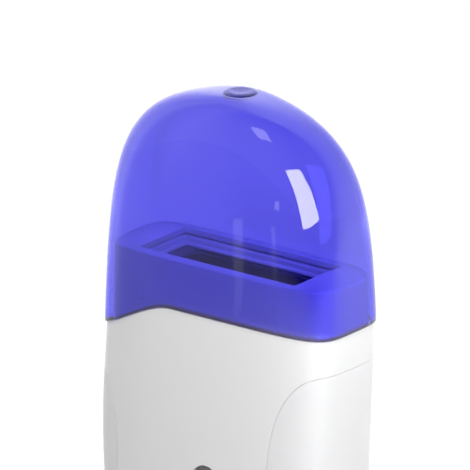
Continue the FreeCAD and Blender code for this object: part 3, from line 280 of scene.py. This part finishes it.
one_sheet("floor", [(x * FLOOR_REACH, y * FLOOR_REACH, 0.0)
                    for x, y in ((-1, -1), (1, -1), (1, 1), (-1, 1))], floor_paper)
scene.view_settings.view_transform = "Standard"
print("floor glow:", FLOOR_GLOW)

# %% [markdown]
# ## Lamps
# A soft key lamp stands close by and high on the narrow end's side. Close up, its light
# falls off across the wide face, which gives a flat face its gentle shading. Three weaker
# lamps light the sides that the key can't reach, and all are kept low enough for white
# plastic to stay just under white. Blender stops a lamp's straight light at clear plastic
# that bends it, so one more lamp, seen only through the dome, lights what is under it.

# %% Lamps
middle = Vector((0.0, 0.0, 130.0)) * MM
FILL_SIZE = (0.5, 0.6)


def soft_lamp(name, around, above, away, size, radiance, through=False):
    """A rectangular lamp that faces the heater's middle, or only shines through the dome."""
    light = bpy.data.lights.new(name, "AREA")
    light.shape = "RECTANGLE"
    light.size, light.size_y = size
    light.energy = radiance * math.pi * size[0] * size[1]
    lamp = bpy.data.objects.new(name, light)
    scene.collection.objects.link(lamp)
    way = direction(math.radians(around), math.radians(above))
    lamp.location = middle + way * away
    lamp.rotation_euler = way.to_track_quat("Z", "Y").to_euler()
    lamp.visible_camera = lamp.visible_glossy = False
    lamp.visible_transmission = through
    lamp.visible_diffuse = not through


soft_lamp("key", 53, 36, 0.33, (0.25, 0.25), 6.4)
soft_lamp("dome_lamp", 66, 28, 0.2, (0.16, 0.16), 7.0, through=True)
soft_lamp("left_fill", -90, 10, 0.8, FILL_SIZE, 1.6)
soft_lamp("right_fill", 112, 0, 0.8, FILL_SIZE, 0.8)
soft_lamp("back_fill", 170, 10, 0.8, FILL_SIZE, 3.0)

# %% [markdown]
# ## Windows in the gloss
# A shiny dome shows what stands round it: a window as a bright patch on its rounded corner,
# a smaller one over it, two upright strips of wall and door as faint streaks down the wide
# face, and a bit of window sill as a spark beside them. They would flatten the case if they
# lit it as strongly as they shine, so these cards are there for gloss alone. A card's
# corners are given as angles from the rounded corner.

# %% Glint cards
glint = Vector((33.0, -12.0, 175.0)) * MM


def glint_card(name, away, corners, radiance):
    """A glowing card that only gloss sees."""
    shine = bpy.data.materials.new(name)
    shine.use_nodes = True
    shine.node_tree.nodes.clear()
    glow = add_node(shine.node_tree, "ShaderNodeEmission", None,
                    {"Color": (1.0, 1.0, 1.0, 1.0), "Strength": radiance})
    add_node(shine.node_tree, "ShaderNodeOutputMaterial", None, {"Surface": glow})
    shine.cycles.emission_sampling = "NONE"
    places = [glint + away * direction(math.radians(around), math.radians(above))
              for around, above in corners]
    card = one_sheet(name, places, shine)
    card.visible_camera = card.visible_diffuse = card.visible_transmission = False
    card.visible_shadow = False


glint_card("window", 1.0, ((-14.5, 9.5), (5.5, 23.5), (33.5, 5.0), (-7.5, -4.0)), 14.5)
glint_card("top_window", 1.0, ((-26.5, 25.5), (-18.5, 38.0), (-16.0, 25.0), (-24.0, 17.0)), 3.5)
glint_card("wall_strip", 0.55,
           ((-37.0, -11.3), (-35.9, -10.9), (-37.0, -18.6), (-37.7, -18.7)), 1.0)
glint_card("door_strip", 0.55,
           ((-30.2, -9.8), (-28.7, -9.3), (-30.5, -18.1), (-31.8, -18.2)), 0.7)
glint_card("sill", 1.0, ((-26.3, -5.0), (-24.5, -4.3), (-25.7, -6.4), (-27.5, -6.6)), 2.2)

# %% [markdown]
# ## Moulded plastics
# Every plastic piece is moulded, and no moulding is perfectly even: its colour drifts a
# touch, its gloss varies where hands and air touch it, and its skin has a fine grain. One
# helper makes such a finish from a colour, a roughness, and a grain in patches per metre
# with its depth in metres. Noise nodes read the piece's own place in space, so the grain
# keeps its size on every piece.

# %% Plastic finish
finishes = {}
DRIFT = 0.03
GLOSS_VARIES = 0.08


def new_finish(name):
    """An empty material, with its tree and the place in space that patterns read."""
    material = bpy.data.materials.new(name)
    material.use_nodes = True
    material.node_tree.nodes.clear()
    finishes[name] = material
    place = add_node(material.node_tree, "ShaderNodeTexCoord", None, None, "Object")
    return material.node_tree, place


def noise(tree, place, scale, detail=2.0):
    """Soft noise from 0 to 1, with scale in patches per metre."""
    return add_node(tree, "ShaderNodeTexNoise", None,
                    {"Vector": place, "Scale": scale, "Detail": detail})


def blend(tree, share, first, second):
    """A colour between two, by a share from 0 to 1."""
    mix = tree.nodes.new("ShaderNodeMix")
    mix.data_type = "RGBA"
    for socket, value in zip((mix.inputs[0], mix.inputs[6], mix.inputs[7]),
                             (share, first, second)):
        if isinstance(value, Wire):
            tree.links.new(value.socket, socket)
        else:
            socket.default_value = value if isinstance(value, float) else (*value, 1.0)
    return Wire(tree, mix.outputs[2])


def bump(tree, height, depth):
    """A bumped normal from a height of 0 to 1 and its depth in metres."""
    return add_node(tree, "ShaderNodeBump", None,
                    {"Height": height, "Strength": 1.0, "Distance": depth})


def finish(tree, **sockets):
    """Ends a material in a Principled shader with these sockets."""
    shader = add_node(tree, "ShaderNodeBsdfPrincipled", None,
                      {name.replace("_", " "): value for name, value in sockets.items()})
    add_node(tree, "ShaderNodeOutputMaterial", None, {"Surface": shader})


def plastic(name, colour, roughness, grain, depth):
    """Moulded plastic: a drifting colour, a varying gloss and a fine grain."""
    tree, place = new_finish(name)
    darker = tuple(part * (1.0 - DRIFT) for part in colour)
    tint = blend(tree, noise(tree, place, 60.0), colour, darker)
    rough = noise(tree, place, 140.0, 4.0) * GLOSS_VARIES + (roughness - GLOSS_VARIES / 2.0)
    skin = noise(tree, place, grain, 3.0)
    finish(tree, Base_Color=tint, Roughness=rough, Normal=bump(tree, skin, depth))


plastic("housing_plastic", (0.80, 0.80, 0.81), 0.22, 900.0, 0.00001)
plastic("grip_plastic", (0.78, 0.78, 0.79), 0.42, 3500.0, 0.00004)
plastic("deck_plastic", (0.74, 0.74, 0.75), 0.38, 2500.0, 0.00002)
plastic("base_plastic", (0.74, 0.74, 0.75), 0.4, 2500.0, 0.00002)
plastic("button_plastic", (0.72, 0.72, 0.74), 0.3, 2000.0, 0.00001)
plastic("switch_plastic", (0.03, 0.03, 0.032), 0.4, 2500.0, 0.00002)
plastic("inlet_plastic", (0.025, 0.025, 0.027), 0.4, 2500.0, 0.00002)
plastic("terminal_plastic", (0.62, 0.62, 0.58), 0.45, 2500.0, 0.00002)
plastic("thermostat_body", (0.09, 0.05, 0.035), 0.35, 2500.0, 0.00002)
plastic("resistor_body", (0.62, 0.46, 0.28), 0.35, 4000.0, 0.00002)
plastic("foot_rubber", (0.05, 0.05, 0.052), 0.75, 1800.0, 0.00008)
plastic("silicone", (0.16, 0.16, 0.17), 0.5, 1200.0, 0.00003)
plastic("film", (0.50, 0.24, 0.03), 0.25, 700.0, 0.00001)
plastic("ceramic", (0.50, 0.49, 0.47), 0.7, 5000.0, 0.00003)
print("plastics:", len(finishes))

# %% [markdown]
# ## Clear violet plastic
# The dome is clear, dyed polystyrene about 1.5 millimetres thick. Its colour isn't on its
# surface: light loses its red and green on the way through the wall, so an edge seen
# along the wall is much darker than the middle. Clear plastic that absorbs inside gives
# that by itself, which a coloured surface wouldn't. Two places are finished otherwise: a
# band along the foot of the rim is painted a darker violet, a painted shade for the dark
# line where the rim sits on the shoulder, and the boss on the crown is left as it was
# cast, less glossy than the polished dome. The dome's mesh says where they are.

# %% Clear plastics
def clear_plastic(name, kept, density, roughness, index=1.49):
    """Clear plastic that keeps these shares of the light over each length of wall."""
    tree, place = new_finish(name)
    rough = noise(tree, place, 90.0, 3.0) * 0.02 + roughness
    skin = noise(tree, place, 60.0, 1.0)
    shader = add_node(tree, "ShaderNodeBsdfPrincipled", None,
                      {"Base Color": (1.0, 1.0, 1.0, 1.0), "Roughness": rough, "IOR": index,
                       "Transmission Weight": 1.0, "Normal": bump(tree, skin, 0.00002)})
    inside = add_node(tree, "ShaderNodeVolumeAbsorption", None,
                      {"Color": (*kept, 1.0), "Density": density})
    add_node(tree, "ShaderNodeOutputMaterial", None, {"Surface": shader, "Volume": inside})
    return tree, shader.socket.node, rough


# Painted shade: the foot of the rim is tinted darker, standing in for the shadow in the gap
# under it.
RIM_SHADE_COLOUR = (0.85, 0.66, 0.40)
RIM_SHADE_TOP, RIM_SHADE_FULL = 0.9 * MM, 0.36 * MM
BOSS_FROST = 0.35

tree, dome_shader, rough = clear_plastic("cap_plastic", (0.13, 0.088, 0.92), 800.0, 0.01)
# Painted shade along the rim: the colour that light keeps darkens over the last millimetre above
# the rim.
above_rim = add_node(tree, "ShaderNodeAttribute", {"attribute_name": "above_rim"}, None, "Fac")
rim_shade = add_node(tree, "ShaderNodeMapRange", None,
                  {"Value": above_rim, "From Min": RIM_SHADE_TOP, "From Max": RIM_SHADE_FULL})
tree.links.new(blend(tree, rim_shade, (1.0, 1.0, 1.0), RIM_SHADE_COLOUR).socket,
               dome_shader.inputs["Base Color"])
on_boss = add_node(tree, "ShaderNodeAttribute", {"attribute_name": "boss"}, None, "Fac")
tree.links.new((rough + on_boss * BOSS_FROST).socket, dome_shader.inputs["Roughness"])
clear_plastic("window_plastic", (0.80, 0.80, 0.82), 120.0, 0.02, 1.58)
clear_plastic("lens_plastic", (0.95, 0.95, 0.95), 40.0, 0.08)
clear_plastic("led_plastic", (0.95, 0.1, 0.05), 500.0, 0.05)
print("plastics, with the clear ones:", len(finishes))

# %% [markdown]
# ## Metals
# The chamber is an aluminium casting, brushed inside when it is cleaned up, and the small
# parts are plated steel and brass. A metal needs its colour in the reflection and fine
# lines along one way, which a noise stretched along that way gives.

# %% Metals
def metal(name, colour, roughness, stretch, depth):
    """Metal with fine lines: the noise is stretched by a factor for each axis."""
    tree, place = new_finish(name)
    lines_at = add_node(tree, "ShaderNodeMapping", None, {"Vector": place, "Scale": stretch})
    lines = noise(tree, lines_at, 1.0, 4.0)
    darker = tuple(part * 0.85 for part in colour)
    finish(tree, Base_Color=blend(tree, lines, darker, colour), Metallic=1.0,
           Roughness=lines * 0.15 + roughness, Normal=bump(tree, lines, depth))


metal("chamber_aluminium", (0.62, 0.62, 0.63), 0.35, (900.0, 900.0, 60.0), 0.00002)
metal("electrode_aluminium", (0.72, 0.72, 0.73), 0.28, (80.0, 900.0, 900.0), 0.00001)
metal("steel", (0.56, 0.56, 0.57), 0.25, (700.0, 700.0, 90.0), 0.00001)
metal("fuse_metal", (0.70, 0.68, 0.64), 0.3, (90.0, 700.0, 700.0), 0.00001)
metal("pin_brass", (0.72, 0.53, 0.28), 0.22, (700.0, 90.0, 700.0), 0.00001)
print("plastics and metals:", len(finishes))

# %% [markdown]
# ## Circuit board
# The board is green solder mask over copper. Tracks show through the mask as a lighter
# green in straight bands, so a brick pattern of lines and pads is enough for a board that
# only shows when the base is off.

# %% Board
tree, place = new_finish("board")
bands = add_node(tree, "ShaderNodeTexBrick", {"offset": 0.5},
                 {"Vector": place, "Scale": 260.0, "Mortar Size": 0.12,
                  "Color1": (0.01, 0.09, 0.03, 1.0), "Color2": (0.012, 0.11, 0.035, 1.0),
                  "Mortar": (0.03, 0.2, 0.06, 1.0)})
weave = noise(tree, place, 2500.0)
finish(tree, Base_Color=bands, Roughness=weave * 0.1 + 0.3, Normal=bump(tree, weave, 0.00001))
print("finishes:", len(finishes))

# %% [markdown]
# ## The dome's rule
# The dome is a rounded slab that closes in an arch. Seen on the wide face the arch is tall
# and square-shouldered, and seen from the end it is a narrow, blunt one, so each level has
# its own length, thickness and roundness. A subdivided box could be pushed into that form,
# but the form follows a rule, and Geometry Nodes can lay a grid over a rule: each row of
# the grid is a level, and each column a place round the outline.

# %% The dome's sizes
DOME = {"Half Length": 44.6 * MM, "Half Thickness": 18.3 * MM, "Draft": 0.018,
        "Level": 118.0 * MM, "Height": 82.2 * MM, "Crown Flat": 0.2 * MM,
        "Arch Power": 6.5, "Cheek Power": 1.5, "Cheek Root": 5.4, "Crown Slack": 0.37,
        "Wall": 1.5 * MM, "Rim Level": 132.3 * MM, "Dip Start": -13.5 * MM,
        "Dip Reach": 36.5 * MM, "Dip Drop": 13.0 * MM, "Edge Round": 0.25 * MM}
COUNTS = {"Columns": 192, "Rows": 56}
BOSS_PROFILE = ((0.0, 0.34), (0.45, 0.34), (0.7, 0.42), (0.95, 0.45), (1.6, 0.45), (2.4, 0.5),
                (3.0, 0.58), (3.5, 0.6), (3.95, 0.57), (4.3, 0.5), (4.6, 0.41), (4.85, 0.3),
                (5.02, 0.18), (5.14, 0.07), (5.25, 0.0))

dome_rule = bpy.data.node_groups.new("dome_rule", "GeometryNodeTree")
ports = dome_rule.interface
ports.new_socket("Geometry", in_out="OUTPUT", socket_type="NodeSocketGeometry")
for label in COUNTS:
    ports.new_socket(label, in_out="INPUT", socket_type="NodeSocketInt")
for label in DOME:
    ports.new_socket(label, in_out="INPUT", socket_type="NodeSocketFloat")
ports.new_socket("Finish", in_out="INPUT", socket_type="NodeSocketMaterial")
given_node = dome_rule.nodes.new("NodeGroupInput")
given = {port.name: Wire(dome_rule, port) for port in given_node.outputs if port.name}
print("dome inputs:", len(given))

# %% [markdown]
# ## Where a vertex is in the grid
# A grid counts its vertices row by row, so a vertex's number gives its row and column. The
# first rows draw the moulding boss on the crown, the next go down the outside, a few go
# round the rim, and the rest go up the inside. One grid makes the whole shell that way,
# and its wall is even because the inside follows the same rule, set in by the wall.

# %% Rows and columns
boss_rows = len(BOSS_PROFILE)


def listed(index, values):
    """The value at that place in a list, held at the list's ends."""
    node = dome_rule.nodes.new("GeometryNodeIndexSwitch")
    node.data_type = "FLOAT"
    while len(node.index_switch_items) < len(values):
        node.index_switch_items.new()
    held = limit(index, 0.0, len(values) - 1.0)
    dome_rule.links.new(held.socket, node.inputs[0])
    for port, value in zip(node.inputs[1:], values):
        if isinstance(value, Wire):
            dome_rule.links.new(value.socket, port)
        else:
            port.default_value = value
    return Wire(dome_rule, node.outputs[0])


def limit(value, low, high):
    """The value, held between two others."""
    return add_node(dome_rule, "ShaderNodeClamp", None,
                    {"Value": value, "Min": low, "Max": high})


across_count = given["Columns"] + 1.0
first_inner = given["Rows"] + (boss_rows + 4.0)
last_row = first_inner + given["Rows"]
grid = add_node(dome_rule, "GeometryNodeMeshGrid", None,
                {"Vertices X": last_row + 1.0, "Vertices Y": across_count})
number = add_node(dome_rule, "GeometryNodeInputIndex")
row = number.math("FLOOR", (number + 0.5) / across_count)
turn = (number - row * across_count) * 4.0 / given["Columns"]

down = limit((row - float(boss_rows)) / (given["Rows"] - 1.0), 0.0, 1.0)
up = limit((row - first_inner) / (given["Rows"] - 1.0), 0.0, 1.0)
from_crown = down - up
round_off, wall = given["Edge Round"], given["Wall"]
corner = row - given["Rows"] - (boss_rows - 1.0)
inset = listed(corner, [0.0, round_off * 0.3, round_off, wall - round_off,
                        wall - round_off * 0.3, wall])
lift = listed(corner, [round_off, round_off * 0.3, 0.0, 0.0, round_off * 0.3, round_off])
print("boss rows:", boss_rows)

# %% [markdown]
# ## The outline at a level
# Each quarter of the outline is a curve between two corners, pulled out by its fullness,
# and the other three quarters are the same curve mirrored. The rim isn't level: towards
# one end it dips in a smooth wave, which is a curve between four points. A place along the
# run of that curve is found by a few rounds of guessing and mending. Where the wave cuts the
# dome depends on how long the dome is at that level, so the rim is found in rounds too.

# %% Outline and rim
WAVE_RUN = (0.863, 0.123, 0.014)
WAVE_FALL = (2.654, 1.654)

quarter = add_node(dome_rule, "ShaderNodeMath", {"operation": "PINGPONG"}, {0: turn, 1: 1.0})
rest = 1.0 - quarter
side_x = 1.0 - 2.0 * ((turn > 1.0) * (turn < 3.0))
side_y = 1.0 - 2.0 * (turn > 2.0)
hold_x = rest * rest * (rest + 3.0 * quarter)
pull_x = 3.0 * rest * quarter * quarter
pull_y = 3.0 * rest * rest * quarter
hold_y = quarter * quarter * (quarter + 3.0 * rest)


def outline_at(level):
    """The vertex's place along X and Y at a level."""
    rise = level - given["Level"]
    share = rise / (given["Height"] - inset)
    lean = inset + given["Draft"] * rise
    fullness = 1.0 - given["Crown Slack"] * share ** 3.0
    long_side = (given["Half Length"] - lean) * (1.0 - share ** given["Arch Power"]) ** 0.5
    short_side = ((given["Half Thickness"] - lean)
                  * (1.0 - share ** given["Cheek Power"]) ** (1.0 / given["Cheek Root"]))
    return (side_x * long_side * (hold_x + pull_x * fullness),
            side_y * short_side * (hold_y + pull_y * fullness))


def rim_at(x):
    """The rim's level at a place along the wide face."""
    run = limit((given["Dip Start"] - x) / given["Dip Reach"], 0.0, 1.0)
    share = run
    for _ in range(4):
        share = run / (WAVE_RUN[0] + share * (WAVE_RUN[1] + share * WAVE_RUN[2]))
    fall = share * share * (WAVE_FALL[0] - WAVE_FALL[1] * share)
    return given["Rim Level"] - given["Dip Drop"] * fall


x_at_rim, _ = outline_at(given["Rim Level"])
for _ in range(2):
    rim = rim_at(x_at_rim) + lift
    x_at_rim, _ = outline_at(rim)
print("rim rule:", len(dome_rule.nodes), "nodes so far")

# %% [markdown]
# ## From rows to levels
# Equal steps in height would leave the crown coarse, because the dome is nearly flat
# there. Steps that grow with the square of the row keep the faces even in size.

# %% Place the vertices
inner_height = given["Height"] - inset
crown_gap = given["Crown Flat"] / inner_height
rim_gap = 1.0 - (rim - given["Level"]) / inner_height
gap = crown_gap + (rim_gap - crown_gap) * from_crown * from_crown
level = given["Level"] + inner_height * (1.0 - gap)
x, y = outline_at(level)
open_row = row < last_row - 0.5
shell = add_node(dome_rule, "ShaderNodeCombineXYZ", None,
                 {"X": x * open_row, "Y": y * open_row, "Z": level})

flat_way = add_node(dome_rule, "ShaderNodeCombineXYZ", None, {"X": x, "Y": y})
spoke = add_node(dome_rule, "ShaderNodeVectorMath", {"operation": "NORMALIZE"}, {0: flat_way})
ring = add_node(dome_rule, "ShaderNodeVectorMath", {"operation": "SCALE"},
                {0: spoke, "Scale": listed(row, [r * MM for r, _ in BOSS_PROFILE])})
crown = given["Level"] + given["Height"] - given["Crown Flat"]
top = add_node(dome_rule, "ShaderNodeCombineXYZ", None,
               {"Z": crown + listed(row, [height * MM for _, height in BOSS_PROFILE])})
boss = add_node(dome_rule, "ShaderNodeVectorMath", None, {0: ring, 1: top})
on_boss = row < boss_rows - 0.5
place = add_node(dome_rule, "GeometryNodeSwitch", {"input_type": "VECTOR"},
                 {"Switch": on_boss, "False": shell, "True": boss})

moved = add_node(dome_rule, "GeometryNodeSetPosition", None,
                 {"Geometry": grid, "Position": place})
for label, value in (("above_rim", level - rim), ("boss", on_boss)):
    moved = add_node(dome_rule, "GeometryNodeStoreNamedAttribute",
                     {"data_type": "FLOAT", "domain": "POINT"},
                     {"Geometry": moved, "Name": label, "Value": value})
closed = add_node(dome_rule, "GeometryNodeMergeByDistance", None,
                  {"Geometry": moved, "Distance": 0.002 * MM})
smooth = add_node(dome_rule, "GeometryNodeSetShadeSmooth", None, {"Geometry": closed})
whole = add_node(dome_rule, "GeometryNodeRealizeInstances", None, {"Geometry": smooth})
dressed = add_node(dome_rule, "GeometryNodeSetMaterial", None,
                   {"Geometry": whole, "Material": given["Finish"]})
add_node(dome_rule, "NodeGroupOutput", None, {0: dressed})
print("dome rule:", len(dome_rule.nodes), "nodes")

# %% [markdown]
# ## Make the dome
# A modifier runs the rule. Its inputs are found by their own keys, because names may
# repeat. The result is then kept as a plain mesh, so that the dome is an ordinary piece
# that rides on the cap's body and stands for the cap's CAD node.

# %% Dome
def from_rule(name, rule, values):
    """A plain mesh object made by a geometry tree with these values."""
    piece = bpy.data.objects.new(name, bpy.data.meshes.new(name))
    scene.collection.objects.link(piece)
    modifier = piece.modifiers.new(name, "NODES")
    modifier.node_group = rule
    for port in rule.interface.items_tree:
        if port.in_out == "INPUT":
            modifier[port.identifier] = values[port.name]
    made = piece.evaluated_get(bpy.context.evaluated_depsgraph_get())
    mesh = bpy.data.meshes.new_from_object(made)
    piece.modifiers.clear()
    piece.data = mesh
    mesh.name = name
    return piece


dome = from_rule("cap_dome", dome_rule,
                 {**DOME, **COUNTS, "Finish": finishes["cap_plastic"]})
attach(dome, "cap")
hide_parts("cap")
probe = bmesh.new()
probe.from_mesh(dome.data)
print("dome:", len(dome.data.polygons), "faces,",
      round(probe.calc_volume(signed=True) * 1e6, 2), "cm3,",
      sum(not edge.is_manifold for edge in probe.edges), "open edges")
probe.free()

# %% [markdown]
# ## The collar's fit
# The collar under the mouth centres the dome and fills its foot. The CAD collar keeps a
# loose gap, and light from behind would shine through it as a bright strip at each end.
# The collar could be drawn again, but a copy of its mesh keeps every other face as it is:
# each point that is close to the dome's inside moves closer, by a rule that keeps the
# order of the points, so that the guide ribs still stand out. The collar is first cut into
# rings a millimetre tall, so that its flat sides can follow the dome's curve.

# %% Collar
FIT = ((0.0, 0.0), (1.6, 0.3), (2.6, 1.3), (5.0, 5.0))
RINGS = range(117, 148)
UNDER_RIM = 0.2 * MM
SHARP = math.radians(32)


def merged_copy(node):
    """The mesh of a CAD piece as a copy whose loose triangles are joined."""
    shape = bmesh.new()
    shape.from_mesh(frame["nodes"][node].data)
    bmesh.ops.remove_doubles(shape, verts=shape.verts, dist=0.001 * MM)
    return shape


def fitted(stops, value):
    """The gap that a gap becomes, between the stops of a rule in millimetres."""
    for (low, low_out), (high, high_out) in zip(stops, stops[1:]):
        if value < high:
            return low_out + (high_out - low_out) * (value - low) / (high - low)
    return value


def as_piece(shape, name, finish_name, body, node):
    """Makes the shape a piece that rides on a body and stands for a CAD node."""
    mesh = bpy.data.meshes.new(name)
    shape.to_mesh(mesh)
    shape.free()
    mesh.shade_smooth()
    mesh.set_sharp_from_angle(angle=SHARP)
    mesh.materials.append(finishes[finish_name])
    piece = bpy.data.objects.new(name, mesh)
    scene.collection.objects.link(piece)
    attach(piece, body)
    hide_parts(node)


collar = merged_copy("top_deck")
for level in RINGS:
    bmesh.ops.bisect_plane(collar, geom=collar.verts[:] + collar.edges[:] + collar.faces[:],
                           dist=0.0001 * MM, plane_co=(0, 0, level * MM), plane_no=(0, 0, 1))
inside_wall = BVHTree.FromPolygons([v.co for v in dome.data.vertices],
                                   [face.vertices for face in dome.data.polygons])
moved_most = 0.0
for point in collar.verts:
    wall_point, _, _, apart = inside_wall.find_nearest(point.co)
    beside = wall_point.z - point.co.z < UNDER_RIM
    if beside and point.co.z > RINGS[0] * MM:
        nearer = apart - fitted(FIT, apart / MM) * MM
        way = (wall_point - point.co) * Vector((1, 1, 0))
        point.co += way.normalized() * nearer
        moved_most = max(moved_most, nearer)
as_piece(collar, "deck_and_collar", "deck_plastic", "body", "top_deck")
print("collar moved out by up to", round(moved_most / MM, 2), "mm")

# %% [markdown]
# ## The panels' seams
# The two side panels are pressed into the housing, and their seams are hairlines. The CAD
# leaves 0.45 millimetres round each, as drawings do. Each panel's edge is two quarters of
# an ellipse, so the points of its side wall can be told by that rule and moved outwards.
# A row gives a panel's end of the heater, and in millimetres the level where it is widest
# and how far it reaches round.

# %% Side panels
PANELS = {"grip_right": (1, 86.0, 20.0), "grip_left": (-1, 81.0, 8.5)}
SEAM, HAIRLINE = 0.45, 0.14
EDGE_SPREAD = 0.12


def widened(node, side, middle, reach):
    """A panel whose side wall has moved out until the seam is a hairline."""
    low, high = (Vector(corner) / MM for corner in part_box(node))
    deep = reach - SEAM
    edge = low.x + deep if side > 0 else high.x - deep
    panel = merged_copy(node)
    for point in panel.verts:
        place = point.co / MM
        out, rise = min(side * (place.x - edge), 0.0), place.z - middle
        tall = high.z - middle if rise > 0 else middle - low.z
        if abs(math.hypot(out / deep, rise / tall) - 1.0) * deep < EDGE_SPREAD:
            way = Vector((side * out / deep ** 2, 0, rise / tall ** 2)).normalized()
            point.co += way * (SEAM - HAIRLINE) * MM
    return panel


for node, (side, middle, reach) in PANELS.items():
    as_piece(widened(node, side, middle, reach), node + "_panel", "grip_plastic", "body", node)
print("panels:", len(PANELS))

# %% [markdown]
# ## Finishes on the CAD pieces
# A CAD piece keeps its mesh and only gets a finish. The record names a material slot for
# each node, and most finishes here have the same name as their slot.

# %% Put the finishes on
own_finish = {"base_plate": "base_plastic"}
for row in frame["record"]["subparts"]:
    node = frame["nodes"][row["node"]]
    chosen = finishes[own_finish.get(row["node"], row["material_slot"])]
    if not node.material_slots:
        node.data.materials.append(chosen)
    for place in node.material_slots:
        place.link = "OBJECT"
        place.material = chosen
